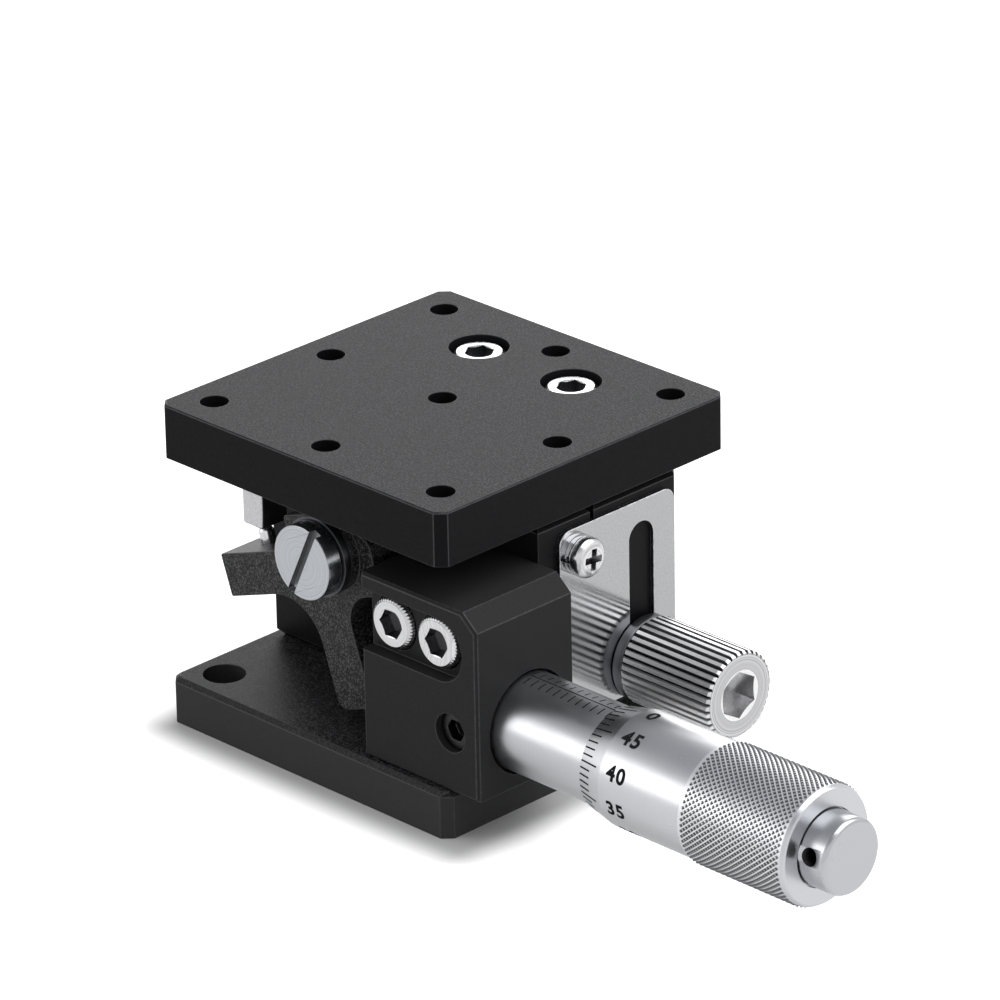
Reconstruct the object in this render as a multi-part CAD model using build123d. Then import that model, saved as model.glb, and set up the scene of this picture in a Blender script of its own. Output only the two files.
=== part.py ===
"""Vertical focusing stage: two square plates, a crossed-roller guide, a bell-crank lever and a micrometer.

Millimetres, +Z up. The origin is the centre of the base plate's underside. +X runs along the micrometer
towards its thimble, and -Y is the side of the lever.
"""

from build123d import *
from math import cos, radians, sin, sqrt
import os

# Plates
plate_side = 40.0
base_thickness = 5.0
top_thickness = 5.8
stage_height = 35.0
plate_corner_chamfer = 1.0
base_edge_bevel = 0.5
top_edge_bevel = 0.15
hole_edge_inset = 4.0
top_hole_radius = 1.45
base_hole_radius = 2.2
plate_screw_spacing = 13.0
plate_screw_y = 11.6
plate_screw_length = 10.0
plate_screw_recess = 0.5
base_screw_recess = 0.25
counterbore_clearance = 0.35

# Screws of metric size three, and the smaller rail screws
screw_head_radius = 2.75
screw_head_height = 3.0
screw_radius = 1.5
screw_socket = 2.5
screw_socket_depth = 1.5
screw_head_bevel = 0.25
screw_point_bevel = 0.5
rail_screw_head_radius = 1.4
rail_screw_head_height = 1.0
rail_screw_radius = 0.8
rail_screw_length = 7.0
hole_clearance = 0.15
thread_clearance = 0.02

# Guide halves
guide_side_inset = 1.0
guide_front_y = -5.9
fixed_guide_thickness = 7.3
guide_split_gap = 0.5
moving_guide_thickness = 12.4
guide_top_gap = 0.85
guide_edge_bevel = 0.4
guide_foot_bevel = 0.6
guide_corner_chamfer = 1.0
moving_guide_foot = 1.0
leg_thickness = 6.0
web_thickness = 5.4
pad_inset = 1.6
base_screw_spacing = 24.0
base_screw_length = 11.0

# Crossed-roller rails
rail_foot = 1.5
rail_top_drop = 1.35
rail_gap = 0.6
fixed_rail_width = 3.85
fixed_rail_height = 5.6
moving_rail_width = 3.95
moving_rail_start = 0.8
groove_offset = 3.2
roller_diameter = 1.5
roller_clearance = 0.03
roller_pitch = 2.3
roller_count = 5
cage_thickness = 0.34
cage_height = 3.0
cage_margin = 1.3
cage_centre_rise = 10.4
rail_screw_margin = 4.0
end_stop_radius = 0.9
end_stop_height = 0.5

# Micrometer block
block_overhang = 3.5
block_length = 16.0
block_depth = 13.15
block_height = 19.85
block_chamfer_x = 2.0
block_chamfer_z = 1.7
block_bevel = 0.3
pocket_width = 6.6
pocket_centre_drop = 4.95
pocket_depth = 1.6
pocket_end_margin = 2.0
block_screw_recess = 0.85
block_screw_inset = 3.3
block_screw_spacing = 6.3
block_screw_length = 12.0
set_screw_radius = 2.0
set_screw_length = 2.3
set_screw_inset = 12.2
set_screw_socket = 2.0

# Micrometer
spindle_axis_offset = 6.05
spindle_axis_rise = 6.4
stem_radius = 4.0
stem_inset = 1.2
stem_shoulder_depth = 1.5
sleeve_radius = 5.1
sleeve_recess_clearance = 0.3
sleeve_length = 22.0
spindle_radius = 2.5
spindle_clearance = 0.05
spindle_nose_radius = 2.1
spindle_end_setback = 3.2
nut_radius = 3.7
nut_length = 6.5
thimble_gap = 12.0
thimble_bevel_length = 3.1
thimble_front_radius = 5.35
thimble_radius = 6.0
thimble_wall_clearance = 0.1
thimble_length = 27.2
knurl_length = 13.1
knurl_radius = 6.25
knurl_end_chamfer = 0.4
cap_radius = 3.9
cap_length = 3.3
cap_seat_depth = 1.2
cap_hole_radius = 0.65
cap_hole_setback = 2.2
cap_edge_bevel = 0.22

# Lever, drawn level about its pivot and then tilted into its place
pivot_gap = 7.5
pivot_drop = 5.6
lever_tilt = 19.5
lever_offset = 4.6
lever_thickness = 5.25
upper_arm_length = 17.1
upper_arm_top = 0.3
upper_arm_depth = 4.5
lower_arm_overhang = 4.1
lower_arm_width = 5.1
hub_half_width = 5.85
hub_top = 3.9
hub_bottom = 5.0
hub_slope_start = 1.5
hub_slope_end = 0.5
arm_fillet = 5.3
lug_fillet = 3.2
tip_radius = 1.2
small_radius = 0.8
hub_corner_radius = 0.4
arm_end_radius = 0.2
boss_radius = 4.1
boss_height = 1.1
bush_radius = 3.0
shoulder_radius = 2.0
shoulder_clearance = 0.05
side_clearance = 0.05
pivot_head_radius = 3.9
pivot_head_height = 1.9
pivot_head_bevel = 0.16
pivot_slot_width = 0.9
pivot_slot_depth = 0.8
pivot_slot_angle = 25.0
pivot_washer_radius = 4.2
pivot_washer_thickness = 0.9
pivot_thread_length = 5.0
spacer_radius = 4.0
contact_pin_radius = 0.8
contact_pin_setback = 3.9
contact_pin_rise = 1.9
contact_pin_depth = 3.0
contact_line_inset = 1.9
push_ball_radius = 1.5
push_ball_drop = 0.2
push_ball_rise = 1.8
contact_gap = 0.12

# Lift block under the top plate
lift_block_width = 2.9
lift_block_depth = 3.6
lift_block_overhang = 0.9
lift_block_front = 1.4
lift_block_seat = 1.2
lift_block_radius = 0.35

# Clamp plate and thumb screw
clamp_thickness = 0.5
clamp_front_offset = 2.5
clamp_width = 16.2
clamp_bottom_rise = 1.6
clamp_top_drop = 1.15
clamp_corner_radius = 1.5
clamp_slot_width = 3.45
clamp_slot_top_drop = 2.35
clamp_slot_bottom_rise = 1.1
clamp_screw_inset = 2.7
clamp_screw_drop = 2.95
pan_head_radius = 2.1
pan_head_height = 1.3
pan_recess_width = 0.55
pan_recess_length = 2.4
pan_recess_depth = 0.7
pan_recess_turn = 20.0
pan_crown = 0.4
pan_screw_length = 6.0
spring_washer_radius = 2.1
spring_washer_thickness = 0.7
spring_washer_gap = 0.4
lock_screw_rise = 5.15
lock_slot_offset = 11.45
lock_washer_radius = 4.45
lock_washer_thickness = 1.1
lock_running_gap = 0.1
lock_head_radius = 4.6
lock_head_length = 12.0
lock_head_teeth = 36
lock_tooth_depth = 0.3
lock_head_chamfer = 0.45
lock_socket = 4.0
lock_socket_depth = 5.0
lock_socket_chamfer = 0.6
lock_thread_length = 5.5
join_overlap = 0.01

# Return spring and its pins
spring_coil_radius = 1.7
spring_wire_radius = 0.3
spring_wire_sides = 8
spring_turns = 9
spring_pin_radius = 0.75
spring_pin_length = 4.2
lower_pin_rise = 3.4
upper_pin_drop = 4.6
spring_loop_gap = 0.08

# Derived heights and planes
top_underside_z = stage_height - top_thickness
guide_top_z = top_underside_z - guide_top_gap
hole_pitch = plate_side / 2 - hole_edge_inset
guide_half_width = plate_side / 2 - guide_side_inset
fixed_guide_back_y = guide_front_y + fixed_guide_thickness
moving_guide_front_y = fixed_guide_back_y + guide_split_gap
moving_guide_back_y = moving_guide_front_y + moving_guide_thickness
moving_guide_foot_z = base_thickness + moving_guide_foot
web_front_y = moving_guide_back_y - web_thickness
leg_inner_x = guide_half_width - leg_thickness
base_screw_y = (guide_front_y + fixed_guide_back_y) / 2
block_end_x = plate_side / 2 + block_overhang
block_start_x = block_end_x - block_length
block_front_y = guide_front_y - block_depth
block_top_z = base_thickness + block_height
pocket_z = block_top_z - pocket_centre_drop
block_screw_xs = [block_start_x + block_screw_inset + i * block_screw_spacing for i in range(2)]
rail_foot_z = base_thickness + rail_foot
rail_length = guide_top_z - rail_top_drop - rail_foot_z
groove_y = fixed_guide_back_y + groove_offset
groove_x = leg_inner_x - moving_rail_width - rail_gap / 2
clamp_face_x = guide_half_width + clamp_thickness
clamp_front_y = guide_front_y + clamp_front_offset
clamp_top_z = guide_top_z - clamp_top_drop
clamp_bottom_z = base_thickness + clamp_bottom_rise
lock_y = clamp_front_y + lock_slot_offset
lock_screw_z = base_thickness + lock_screw_rise
spindle_axis_y = guide_front_y - spindle_axis_offset
spindle_axis_z = base_thickness + spindle_axis_rise
thimble_front_x = block_end_x + thimble_gap
thimble_end_x = thimble_front_x + thimble_length
spindle_end_x = thimble_end_x - spindle_end_setback
pivot_x = block_start_x - pivot_gap
pivot_z = top_underside_z - pivot_drop
push_ball_inset = pivot_z - spindle_axis_z + push_ball_drop
lower_arm_length = push_ball_inset + lower_arm_overhang
contact_pin_inset = upper_arm_length - contact_pin_setback
lever_back_y = guide_front_y - lever_offset
lever_front_y = lever_back_y - lever_thickness
contact_line_y = lever_back_y - contact_line_inset
lower_pin_z = base_thickness + lower_pin_rise
upper_pin_z = guide_top_z - upper_pin_drop


def box_between(low, high):
    """A box from its lowest to its highest corner."""
    size = [b - a for a, b in zip(low, high)]
    centre = [(a + b) / 2 for a, b in zip(low, high)]
    return Pos(*centre) * Box(*size)


def rod_x(radius, start, end, y, z):
    return Pos((start + end) / 2, y, z) * Rot(0, 90, 0) * Cylinder(radius, end - start)


def rod_y(radius, start, end, x, z):
    return Pos(x, (start + end) / 2, z) * Rot(90, 0, 0) * Cylinder(radius, end - start)


def rod_z(radius, start, end, x, y):
    return Pos(x, y, (start + end) / 2) * Cylinder(radius, end - start)


def turned(profile):
    """A turned piece about the Z axis, from (radius, height) points."""
    return revolve(make_face(Polyline([(r, 0, h) for r, h in profile], close=True)), Axis.Z)


def turned_x(profile, y, z):
    """A turned piece about a line along X, from (x, radius) points."""
    return Pos(0, y, z) * Rot(0, 90, 0) * turned([(r, x) for x, r in profile])


def hexagon_prism(across_flats, height):
    return extrude(RegularPolygon(across_flats / 2, 6, major_radius=False), height)


def edges_at(shape, axis, value, tolerance=1e-3):
    """Straight edges whose every point has the given coordinate."""
    return shape.edges().filter_by_position(axis, value - tolerance, value + tolerance)


def square_plate(bottom_z, thickness):
    half = plate_side / 2
    plate = box_between((-half, -half, bottom_z), (half, half, bottom_z + thickness))
    return chamfer(plate.edges().filter_by(Axis.Z), plate_corner_chamfer)


def cap_screw(length):
    """Socket head screw: the head stands on z = 0, and the shank points down."""
    outline = [
        (0, screw_head_height),
        (screw_head_radius - screw_head_bevel, screw_head_height),
        (screw_head_radius, screw_head_height - screw_head_bevel),
        (screw_head_radius, 0),
        (screw_radius, 0),
        (screw_radius, screw_point_bevel - length),
        (screw_radius - screw_point_bevel, -length),
        (0, -length),
    ]
    recess = hexagon_prism(screw_socket, screw_socket_depth)
    return turned(outline) - Pos(0, 0, screw_head_height - screw_socket_depth) * recess


def rail_screw():
    """Low-headed screw of the rails, hidden inside the guide, with a plain head."""
    head = Cylinder(rail_screw_head_radius, rail_screw_head_height)
    shank = Cylinder(rail_screw_radius, rail_screw_length)
    return Pos(0, 0, rail_screw_head_height / 2) * head + Pos(0, 0, -rail_screw_length / 2) * shank


# Top plate

plate_screw_seat_z = stage_height - plate_screw_recess - screw_head_height
plate_screw_places = [(side * plate_screw_spacing / 2, plate_screw_y) for side in (-1, 1)]
grid = [-hole_pitch, 0, hole_pitch]


def top_plate():
    plate = square_plate(top_underside_z, top_thickness)
    plate = chamfer(edges_at(plate, Axis.Z, stage_height), top_edge_bevel)
    for x in grid:
        for y in grid:
            plate -= rod_z(top_hole_radius, top_underside_z, stage_height, x, y)
    for x, y in plate_screw_places:
        plate -= rod_z(screw_head_radius + counterbore_clearance, plate_screw_seat_z, stage_height, x, y)
        plate -= rod_z(screw_radius + hole_clearance, top_underside_z, stage_height, x, y)
    return plate - lift_block_blank(0)


def top_plate_screws():
    screw = cap_screw(plate_screw_length)
    return [Pos(x, y, plate_screw_seat_z) * screw for x, y in plate_screw_places]


# Base plate

base_screw_xs = [-base_screw_spacing / 2, base_screw_spacing / 2]
base_screw_seat_z = screw_head_height + base_screw_recess


def base_plate():
    plate = square_plate(0, base_thickness)
    plate = chamfer(edges_at(plate, Axis.Z, base_thickness), base_edge_bevel)
    for x in (-hole_pitch, hole_pitch):
        for y in (-hole_pitch, hole_pitch):
            plate -= rod_z(base_hole_radius, 0, base_thickness, x, y)
    for x in base_screw_xs:
        plate -= rod_z(screw_head_radius + counterbore_clearance, 0, base_screw_seat_z, x, base_screw_y)
        plate -= rod_z(screw_radius + hole_clearance, 0, base_thickness, x, base_screw_y)
    return plate


def base_screws():
    place = Rot(180, 0, 0) * cap_screw(base_screw_length)
    return [Pos(x, base_screw_y, base_screw_seat_z) * place for x in base_screw_xs]


# Guide

rail_screw_zs = [rail_foot_z + rail_screw_margin, rail_foot_z + rail_length - rail_screw_margin]
fixed_rail_outer_x = groove_x - rail_gap / 2
fixed_rail_inner_x = fixed_rail_outer_x - fixed_rail_width
fixed_rail_top_y = fixed_guide_back_y + fixed_rail_height
moving_rail_inner_x = groove_x + rail_gap / 2
moving_rail_front_y = fixed_guide_back_y + moving_rail_start
fixed_rail_screw_x = (fixed_rail_inner_x + fixed_rail_outer_x) / 2 - roller_diameter / 4
moving_rail_screw_x = (moving_rail_inner_x + leg_inner_x) / 2 + roller_diameter / 4
groove_half_diagonal = (roller_diameter / 2 + roller_clearance) * sqrt(2)


def fixed_guide():
    body = box_between(
        (-guide_half_width, guide_front_y, base_thickness),
        (guide_half_width, fixed_guide_back_y, guide_top_z),
    )
    body = chamfer(edges_at(body, Axis.Z, guide_top_z), guide_edge_bevel)
    foot = edges_at(body, Axis.Z, base_thickness).filter_by_position(
        Axis.Y, guide_front_y - 1, fixed_guide_back_y - 0.01
    )
    body = chamfer(foot, guide_foot_bevel)
    for x in base_screw_xs:
        body -= rod_z(screw_radius + thread_clearance, 0, base_thickness + base_screw_length, x, base_screw_y)
    for x in block_screw_xs:
        end = block_screw_seat_y + block_screw_length + plate_screw_recess
        body -= rod_y(screw_radius + thread_clearance, guide_front_y, end, x, pocket_z)
    for side in (-1, 1):
        for z in rail_screw_zs:
            start = fixed_rail_top_y - rail_screw_head_height - rail_screw_length - side_clearance
            body -= rod_y(
                rail_screw_radius + thread_clearance, start, fixed_guide_back_y, side * fixed_rail_screw_x, z
            )
    pivot_end = guide_front_y + pivot_thread_length + side_clearance
    body -= rod_y(screw_radius + thread_clearance, guide_front_y, pivot_end, pivot_x, pivot_z)
    start = guide_half_width - pan_screw_length
    body -= rod_x(screw_radius + thread_clearance, start, guide_half_width, clamp_screw_y, clamp_screw_z)
    return body - lower_spring_pin_blank(thread_clearance)


def moving_guide():
    body = box_between(
        (-guide_half_width, moving_guide_front_y, moving_guide_foot_z),
        (guide_half_width, moving_guide_back_y, guide_top_z),
    )
    back_corners = body.edges().filter_by(Axis.Z).filter_by_position(
        Axis.Y, moving_guide_back_y - 0.01, moving_guide_back_y + 0.01
    )
    body = chamfer(back_corners, guide_corner_chamfer)
    body = chamfer(edges_at(body, Axis.Z, guide_top_z), guide_edge_bevel)
    pad = box_between(
        (pad_inset - guide_half_width, moving_guide_front_y + pad_inset, guide_top_z),
        (guide_half_width - pad_inset, moving_guide_back_y - pad_inset, top_underside_z),
    )
    body += pad
    body -= box_between(
        (-leg_inner_x, moving_guide_front_y, moving_guide_foot_z),
        (leg_inner_x, web_front_y, top_underside_z),
    )
    for x, y in plate_screw_places:
        end = plate_screw_seat_z - plate_screw_length - plate_screw_recess
        body -= rod_z(screw_radius + thread_clearance, end, top_underside_z, x, y)
    for side in (-1, 1):
        for z in rail_screw_zs:
            end = moving_rail_front_y + rail_screw_head_height + rail_screw_length + side_clearance
            body -= rod_y(
                rail_screw_radius + thread_clearance, web_front_y, end, side * moving_rail_screw_x, z
            )
    lock_end = guide_half_width - lock_thread_length - 1
    body -= rod_x(screw_radius + shoulder_clearance, lock_end, guide_half_width, lock_y, lock_screw_z)
    return body - upper_spring_pin_blank(thread_clearance)


def groove_cutter():
    """Square channel in which the rollers run, turned to stand on its edge."""
    side = roller_diameter + 2 * roller_clearance
    middle_z = rail_foot_z + rail_length / 2
    return Pos(groove_x, groove_y, middle_z) * Rot(0, 0, 45) * Box(side, side, rail_length + 1)


def fixed_rail():
    rail = box_between(
        (fixed_rail_inner_x, fixed_guide_back_y, rail_foot_z),
        (fixed_rail_outer_x, fixed_rail_top_y, rail_foot_z + rail_length),
    )
    rail -= groove_cutter()
    for z in rail_screw_zs:
        seat = fixed_rail_top_y - rail_screw_head_height
        rail -= rod_y(rail_screw_radius + side_clearance, fixed_guide_back_y, seat, fixed_rail_screw_x, z)
        rail -= rod_y(rail_screw_head_radius + side_clearance, seat, fixed_rail_top_y, fixed_rail_screw_x, z)
    return rail


def moving_rail():
    rail = box_between(
        (moving_rail_inner_x, moving_rail_front_y, rail_foot_z),
        (leg_inner_x, web_front_y, rail_foot_z + rail_length),
    )
    rail -= groove_cutter()
    for z in rail_screw_zs:
        seat = moving_rail_front_y + rail_screw_head_height
        rail -= rod_y(rail_screw_radius + side_clearance, seat, web_front_y, moving_rail_screw_x, z)
        head_bore = rail_screw_head_radius + side_clearance
        rail -= rod_y(head_bore, moving_rail_front_y, seat, moving_rail_screw_x, z)
    return rail


def fixed_rail_screws():
    seat = fixed_rail_top_y - rail_screw_head_height
    screw = Rot(-90, 0, 0) * rail_screw()
    return [Pos(side * fixed_rail_screw_x, seat, z) * screw for side in (-1, 1) for z in rail_screw_zs]


def moving_rail_screws():
    seat = moving_rail_front_y + rail_screw_head_height
    screw = Rot(90, 0, 0) * rail_screw()
    return [Pos(side * moving_rail_screw_x, seat, z) * screw for side in (-1, 1) for z in rail_screw_zs]


def mirrored(shape):
    return mirror(shape, Plane.YZ)


cage_centre_z = base_thickness + cage_centre_rise
cage_length = (roller_count - 1) * roller_pitch + roller_diameter + cage_margin
roller_zs = [cage_centre_z + (i - (roller_count - 1) / 2) * roller_pitch for i in range(roller_count)]


def crossed_rollers(side):
    """Short rollers whose axes lie at right angles to each other in turn."""
    length = roller_diameter - 2 * roller_clearance
    rollers = []
    for index, z in enumerate(roller_zs):
        turn = 45 if index % 2 == 0 else -45
        roller = Rot(0, 0, turn) * Rot(0, 90, 0) * Cylinder(roller_diameter / 2, length)
        rollers.append(Pos(side * groove_x, groove_y, z) * roller)
    return rollers


def roller_cage():
    cage = Pos(groove_x, groove_y, cage_centre_z) * Box(cage_thickness, cage_height, cage_length)
    window = roller_diameter + 4 * roller_clearance
    for z in roller_zs:
        cage -= Pos(groove_x, groove_y, z) * Box(1, roller_diameter * sqrt(2), window)
    return cage


def rail_end_stops():
    """Small disc-headed screws in the lower ends of the fixed rails, which stop the cages."""
    x = fixed_rail_outer_x - end_stop_radius / 2
    stops = []
    for side in (-1, 1):
        head = rod_z(end_stop_radius, rail_foot_z - end_stop_height, rail_foot_z, side * x, groove_y)
        stops.append(head)
    return stops


# Micrometer block

block_screw_seat_y = block_front_y + block_screw_recess + screw_head_height
set_screw_x = block_start_x + set_screw_inset
stem_start_x = block_start_x + stem_inset
stem_shoulder_x = block_end_x - stem_shoulder_depth


def pocket():
    """Round-ended pocket for the two screw heads, open towards the lever."""
    end_x = block_end_x - pocket_end_margin - pocket_width / 2
    floor_y = block_front_y + pocket_depth
    slot = box_between(
        (block_start_x - 1, block_front_y - 1, pocket_z - pocket_width / 2),
        (end_x, floor_y, pocket_z + pocket_width / 2),
    )
    return slot + rod_y(pocket_width / 2, block_front_y - 1, floor_y, end_x, pocket_z)


def micrometer_block():
    block = box_between(
        (block_start_x, block_front_y, base_thickness), (block_end_x, guide_front_y, block_top_z)
    )
    wedge = Polyline(
        (block_end_x, guide_front_y, block_top_z - block_chamfer_z),
        (block_end_x + 1, guide_front_y, block_top_z - block_chamfer_z),
        (block_end_x + 1, guide_front_y, block_top_z + 1),
        (block_end_x - block_chamfer_x, guide_front_y, block_top_z + 1),
        (block_end_x - block_chamfer_x, guide_front_y, block_top_z),
        close=True,
    )
    block -= extrude(make_face(wedge), block_depth + 1, dir=(0, -1, 0))
    front_edges = block.faces().sort_by(Axis.Y)[0].edges()
    block = chamfer(front_edges, block_bevel)
    block -= pocket()
    for x in block_screw_xs:
        block -= rod_y(
            screw_head_radius + hole_clearance, block_front_y, block_screw_seat_y, x, pocket_z
        )
        block -= rod_y(screw_radius + hole_clearance, block_front_y, guide_front_y, x, pocket_z)
    block -= rod_y(
        set_screw_radius + thread_clearance, block_front_y - 1, spindle_axis_y, set_screw_x, spindle_axis_z
    )
    block -= rod_x(
        stem_radius + thread_clearance, block_start_x - 1, block_end_x, spindle_axis_y, spindle_axis_z
    )
    block -= rod_x(
        sleeve_radius + sleeve_recess_clearance,
        stem_shoulder_x,
        block_end_x + 1,
        spindle_axis_y,
        spindle_axis_z,
    )
    return block


def block_screws():
    screw = Rot(90, 0, 0) * cap_screw(block_screw_length)
    return [Pos(x, block_screw_seat_y, pocket_z) * screw for x in block_screw_xs]


def stem_set_screw():
    tip_y = spindle_axis_y - stem_radius - side_clearance
    body = rod_y(set_screw_radius, tip_y - set_screw_length, tip_y, set_screw_x, spindle_axis_z)
    socket = Pos(set_screw_x, tip_y - set_screw_length, spindle_axis_z) * Rot(-90, 0, 0)
    return body - socket * hexagon_prism(set_screw_socket, set_screw_length / 2)


# Micrometer

sleeve_end_x = stem_shoulder_x + sleeve_length
nut_start_x = sleeve_end_x - nut_length
knurl_end_x = thimble_end_x - knurl_end_chamfer
knurl_start_x = knurl_end_x - knurl_length


def micrometer_sleeve():
    bore = spindle_radius + spindle_clearance
    nut_bore = nut_radius + thread_clearance
    outline = [
        (stem_start_x, bore),
        (stem_start_x, stem_radius),
        (stem_shoulder_x, stem_radius),
        (stem_shoulder_x, sleeve_radius),
        (sleeve_end_x, sleeve_radius),
        (sleeve_end_x, nut_bore),
        (nut_start_x, nut_bore),
        (nut_start_x, bore),
    ]
    return turned_x(outline, spindle_axis_y, spindle_axis_z)


def spindle_nut():
    tube = rod_x(nut_radius, nut_start_x, sleeve_end_x, spindle_axis_y, spindle_axis_z)
    bore = rod_x(
        spindle_radius + spindle_clearance, nut_start_x, sleeve_end_x, spindle_axis_y, spindle_axis_z
    )
    return tube - bore


def micrometer_spindle():
    nose = spindle_radius - spindle_nose_radius
    outline = [
        (spindle_tip_x, 0),
        (spindle_tip_x, spindle_nose_radius),
        (spindle_tip_x + nose, spindle_radius),
        (spindle_end_x, spindle_radius),
        (spindle_end_x, 0),
    ]
    return turned_x(outline, spindle_axis_y, spindle_axis_z)


def thimble():
    """Open at the front over the sleeve, with a bore for the spindle and a seat for the cap behind."""
    bore = sleeve_radius + thimble_wall_clearance
    sleeve_room_end = spindle_end_x - nut_length
    hub_bore = spindle_radius + spindle_clearance
    seat_x = thimble_end_x - cap_seat_depth
    seat_radius = cap_radius + thread_clearance
    outline = [
        (thimble_front_x, bore),
        (thimble_front_x, thimble_front_radius),
        (thimble_front_x + thimble_bevel_length, thimble_radius),
        (knurl_start_x, thimble_radius),
        (knurl_start_x, knurl_radius),
        (knurl_end_x, knurl_radius),
        (thimble_end_x, knurl_radius - knurl_end_chamfer),
        (thimble_end_x, seat_radius),
        (seat_x, seat_radius),
        (seat_x, hub_bore),
        (sleeve_room_end, hub_bore),
        (sleeve_room_end, bore),
    ]
    return turned_x(outline, spindle_axis_y, spindle_axis_z)


def thimble_cap():
    start = thimble_end_x - cap_seat_depth
    end = thimble_end_x + cap_length
    outline = [
        (start, 0),
        (start, cap_radius),
        (end - cap_edge_bevel, cap_radius),
        (end, cap_radius - cap_edge_bevel),
        (end, 0),
    ]
    cap = turned_x(outline, spindle_axis_y, spindle_axis_z)
    hole_x = end - cap_hole_setback
    return cap - rod_y(
        cap_hole_radius, spindle_axis_y - cap_radius, spindle_axis_y - cap_radius / 2, hole_x, spindle_axis_z
    )


# Lever

boss_front_y = lever_front_y - boss_height
washer_back_y = boss_front_y - side_clearance
washer_front_y = washer_back_y - pivot_washer_thickness
tilt_cos = cos(radians(lever_tilt))
tilt_sin = sin(radians(lever_tilt))


def tilted_point(along, up):
    """Place in the stage of a point that is drawn on the level lever."""
    return (
        pivot_x + along * tilt_cos - up * tilt_sin,
        pivot_z + along * tilt_sin + up * tilt_cos,
    )


def tilted(shape):
    """A piece drawn level about the pivot, turned into its place."""
    return Pos(pivot_x, 0, pivot_z) * Rot(0, -lever_tilt, 0) * shape


def bell_crank():
    """Two arms at right angles, blended into a squared hub round the pivot."""
    arm_bottom = upper_arm_top - upper_arm_depth
    corners = [
        ((-upper_arm_length, upper_arm_top), arm_end_radius),
        ((-hub_half_width, upper_arm_top), small_radius),
        ((-hub_half_width, hub_top), hub_corner_radius),
        ((hub_slope_start, hub_top), small_radius),
        ((hub_half_width, hub_slope_end), small_radius),
        ((hub_half_width, -hub_bottom), small_radius),
        ((0, -hub_bottom), lug_fillet),
        ((0, -lower_arm_length), tip_radius),
        ((-lower_arm_width, -lower_arm_length), tip_radius),
        ((-lower_arm_width, arm_bottom), arm_fillet),
        ((-upper_arm_length, arm_bottom), arm_end_radius),
    ]
    # The lug's lower edge meets the lower arm in a concave blend.
    points = [(u, 0, v) for (u, v), _ in corners]
    outline = FilletPolyline(*points, radius=[r for _, r in corners], close=True)
    plate = extrude(make_face(outline), lever_thickness, dir=(0, 1, 0))
    lever = Pos(0, lever_front_y, 0) * plate
    lever += rod_y(boss_radius, boss_front_y, lever_front_y, 0, 0)
    lever -= rod_y(bush_radius + thread_clearance, boss_front_y, lever_back_y, 0, 0)
    pin_floor = upper_arm_top - contact_pin_depth
    pin_bore = contact_pin_radius + thread_clearance
    lever -= rod_z(pin_bore, pin_floor, upper_arm_top + 1, -contact_pin_inset, contact_line_y)
    seat = push_ball_radius + thread_clearance
    lever -= Pos(push_ball_rise - push_ball_radius, spindle_axis_y, -push_ball_inset) * Sphere(seat)
    return tilted(lever)


def pivot_bush():
    tube = rod_y(bush_radius, boss_front_y, lever_back_y, 0, 0)
    bore = rod_y(shoulder_radius + shoulder_clearance, boss_front_y, lever_back_y, 0, 0)
    return tilted(tube - bore)


def lift_contact_pin():
    dome_centre = upper_arm_top + contact_pin_rise - contact_pin_radius
    floor = upper_arm_top - contact_pin_depth
    pin = rod_z(contact_pin_radius, floor, dome_centre, -contact_pin_inset, contact_line_y)
    pin += Pos(-contact_pin_inset, contact_line_y, dome_centre) * Sphere(contact_pin_radius)
    return tilted(pin)


def push_ball():
    along = push_ball_rise - push_ball_radius
    return tilted(Pos(along, spindle_axis_y, -push_ball_inset) * Sphere(push_ball_radius))


contact_pin_point = tilted_point(-contact_pin_inset, upper_arm_top + contact_pin_rise - contact_pin_radius)
lift_block_bottom_z = contact_pin_point[1] + contact_pin_radius + contact_gap
push_ball_point = tilted_point(push_ball_rise - push_ball_radius, -push_ball_inset)
spindle_tip_x = push_ball_point[0] + push_ball_radius + contact_gap


def pivot_screw():
    """Cheese-head shoulder screw: the head and shoulder hold the lever, the thread enters the guide."""
    head_back_y = washer_front_y - side_clearance
    head_front_y = head_back_y - pivot_head_height
    screw = rod_y(pivot_head_radius, head_front_y, head_back_y, pivot_x, pivot_z)
    screw = chamfer(edges_at(screw, Axis.Y, head_front_y), pivot_head_bevel)
    screw += rod_y(shoulder_radius, head_back_y, guide_front_y, pivot_x, pivot_z)
    screw += rod_y(screw_radius, guide_front_y, guide_front_y + pivot_thread_length, pivot_x, pivot_z)
    slot = Box(pivot_slot_width, 2 * pivot_slot_depth, 2 * pivot_head_radius + 1)
    return screw - Pos(pivot_x, head_front_y, pivot_z) * Rot(0, pivot_slot_angle, 0) * slot


def pivot_ring(radius, start, end):
    tube = rod_y(radius, start, end, pivot_x, pivot_z)
    return tube - rod_y(shoulder_radius + shoulder_clearance, start, end, pivot_x, pivot_z)


def pivot_washer():
    return pivot_ring(pivot_washer_radius, washer_front_y, washer_back_y)


def pivot_spacer():
    return pivot_ring(spacer_radius, lever_back_y + side_clearance, guide_front_y)


# Lift block

def lift_block_blank(rounding):
    """Hardened block in a shallow seat of the top plate, above the lever's contact pin."""
    right_x = contact_pin_point[0] + lift_block_overhang
    front_y = contact_line_y - lift_block_front
    block = box_between(
        (right_x - lift_block_width, front_y, lift_block_bottom_z),
        (right_x, front_y + lift_block_depth, top_underside_z + lift_block_seat),
    )
    if rounding:
        block = fillet(block.edges().filter_by(Axis.Z), rounding)
        block = fillet(edges_at(block, Axis.Z, lift_block_bottom_z), rounding / 2)
    return block


def lift_block():
    return lift_block_blank(lift_block_radius)


# Clamp plate and thumb screw

clamp_screw_y = clamp_front_y + clamp_screw_inset
clamp_screw_z = clamp_top_z - clamp_screw_drop


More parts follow.
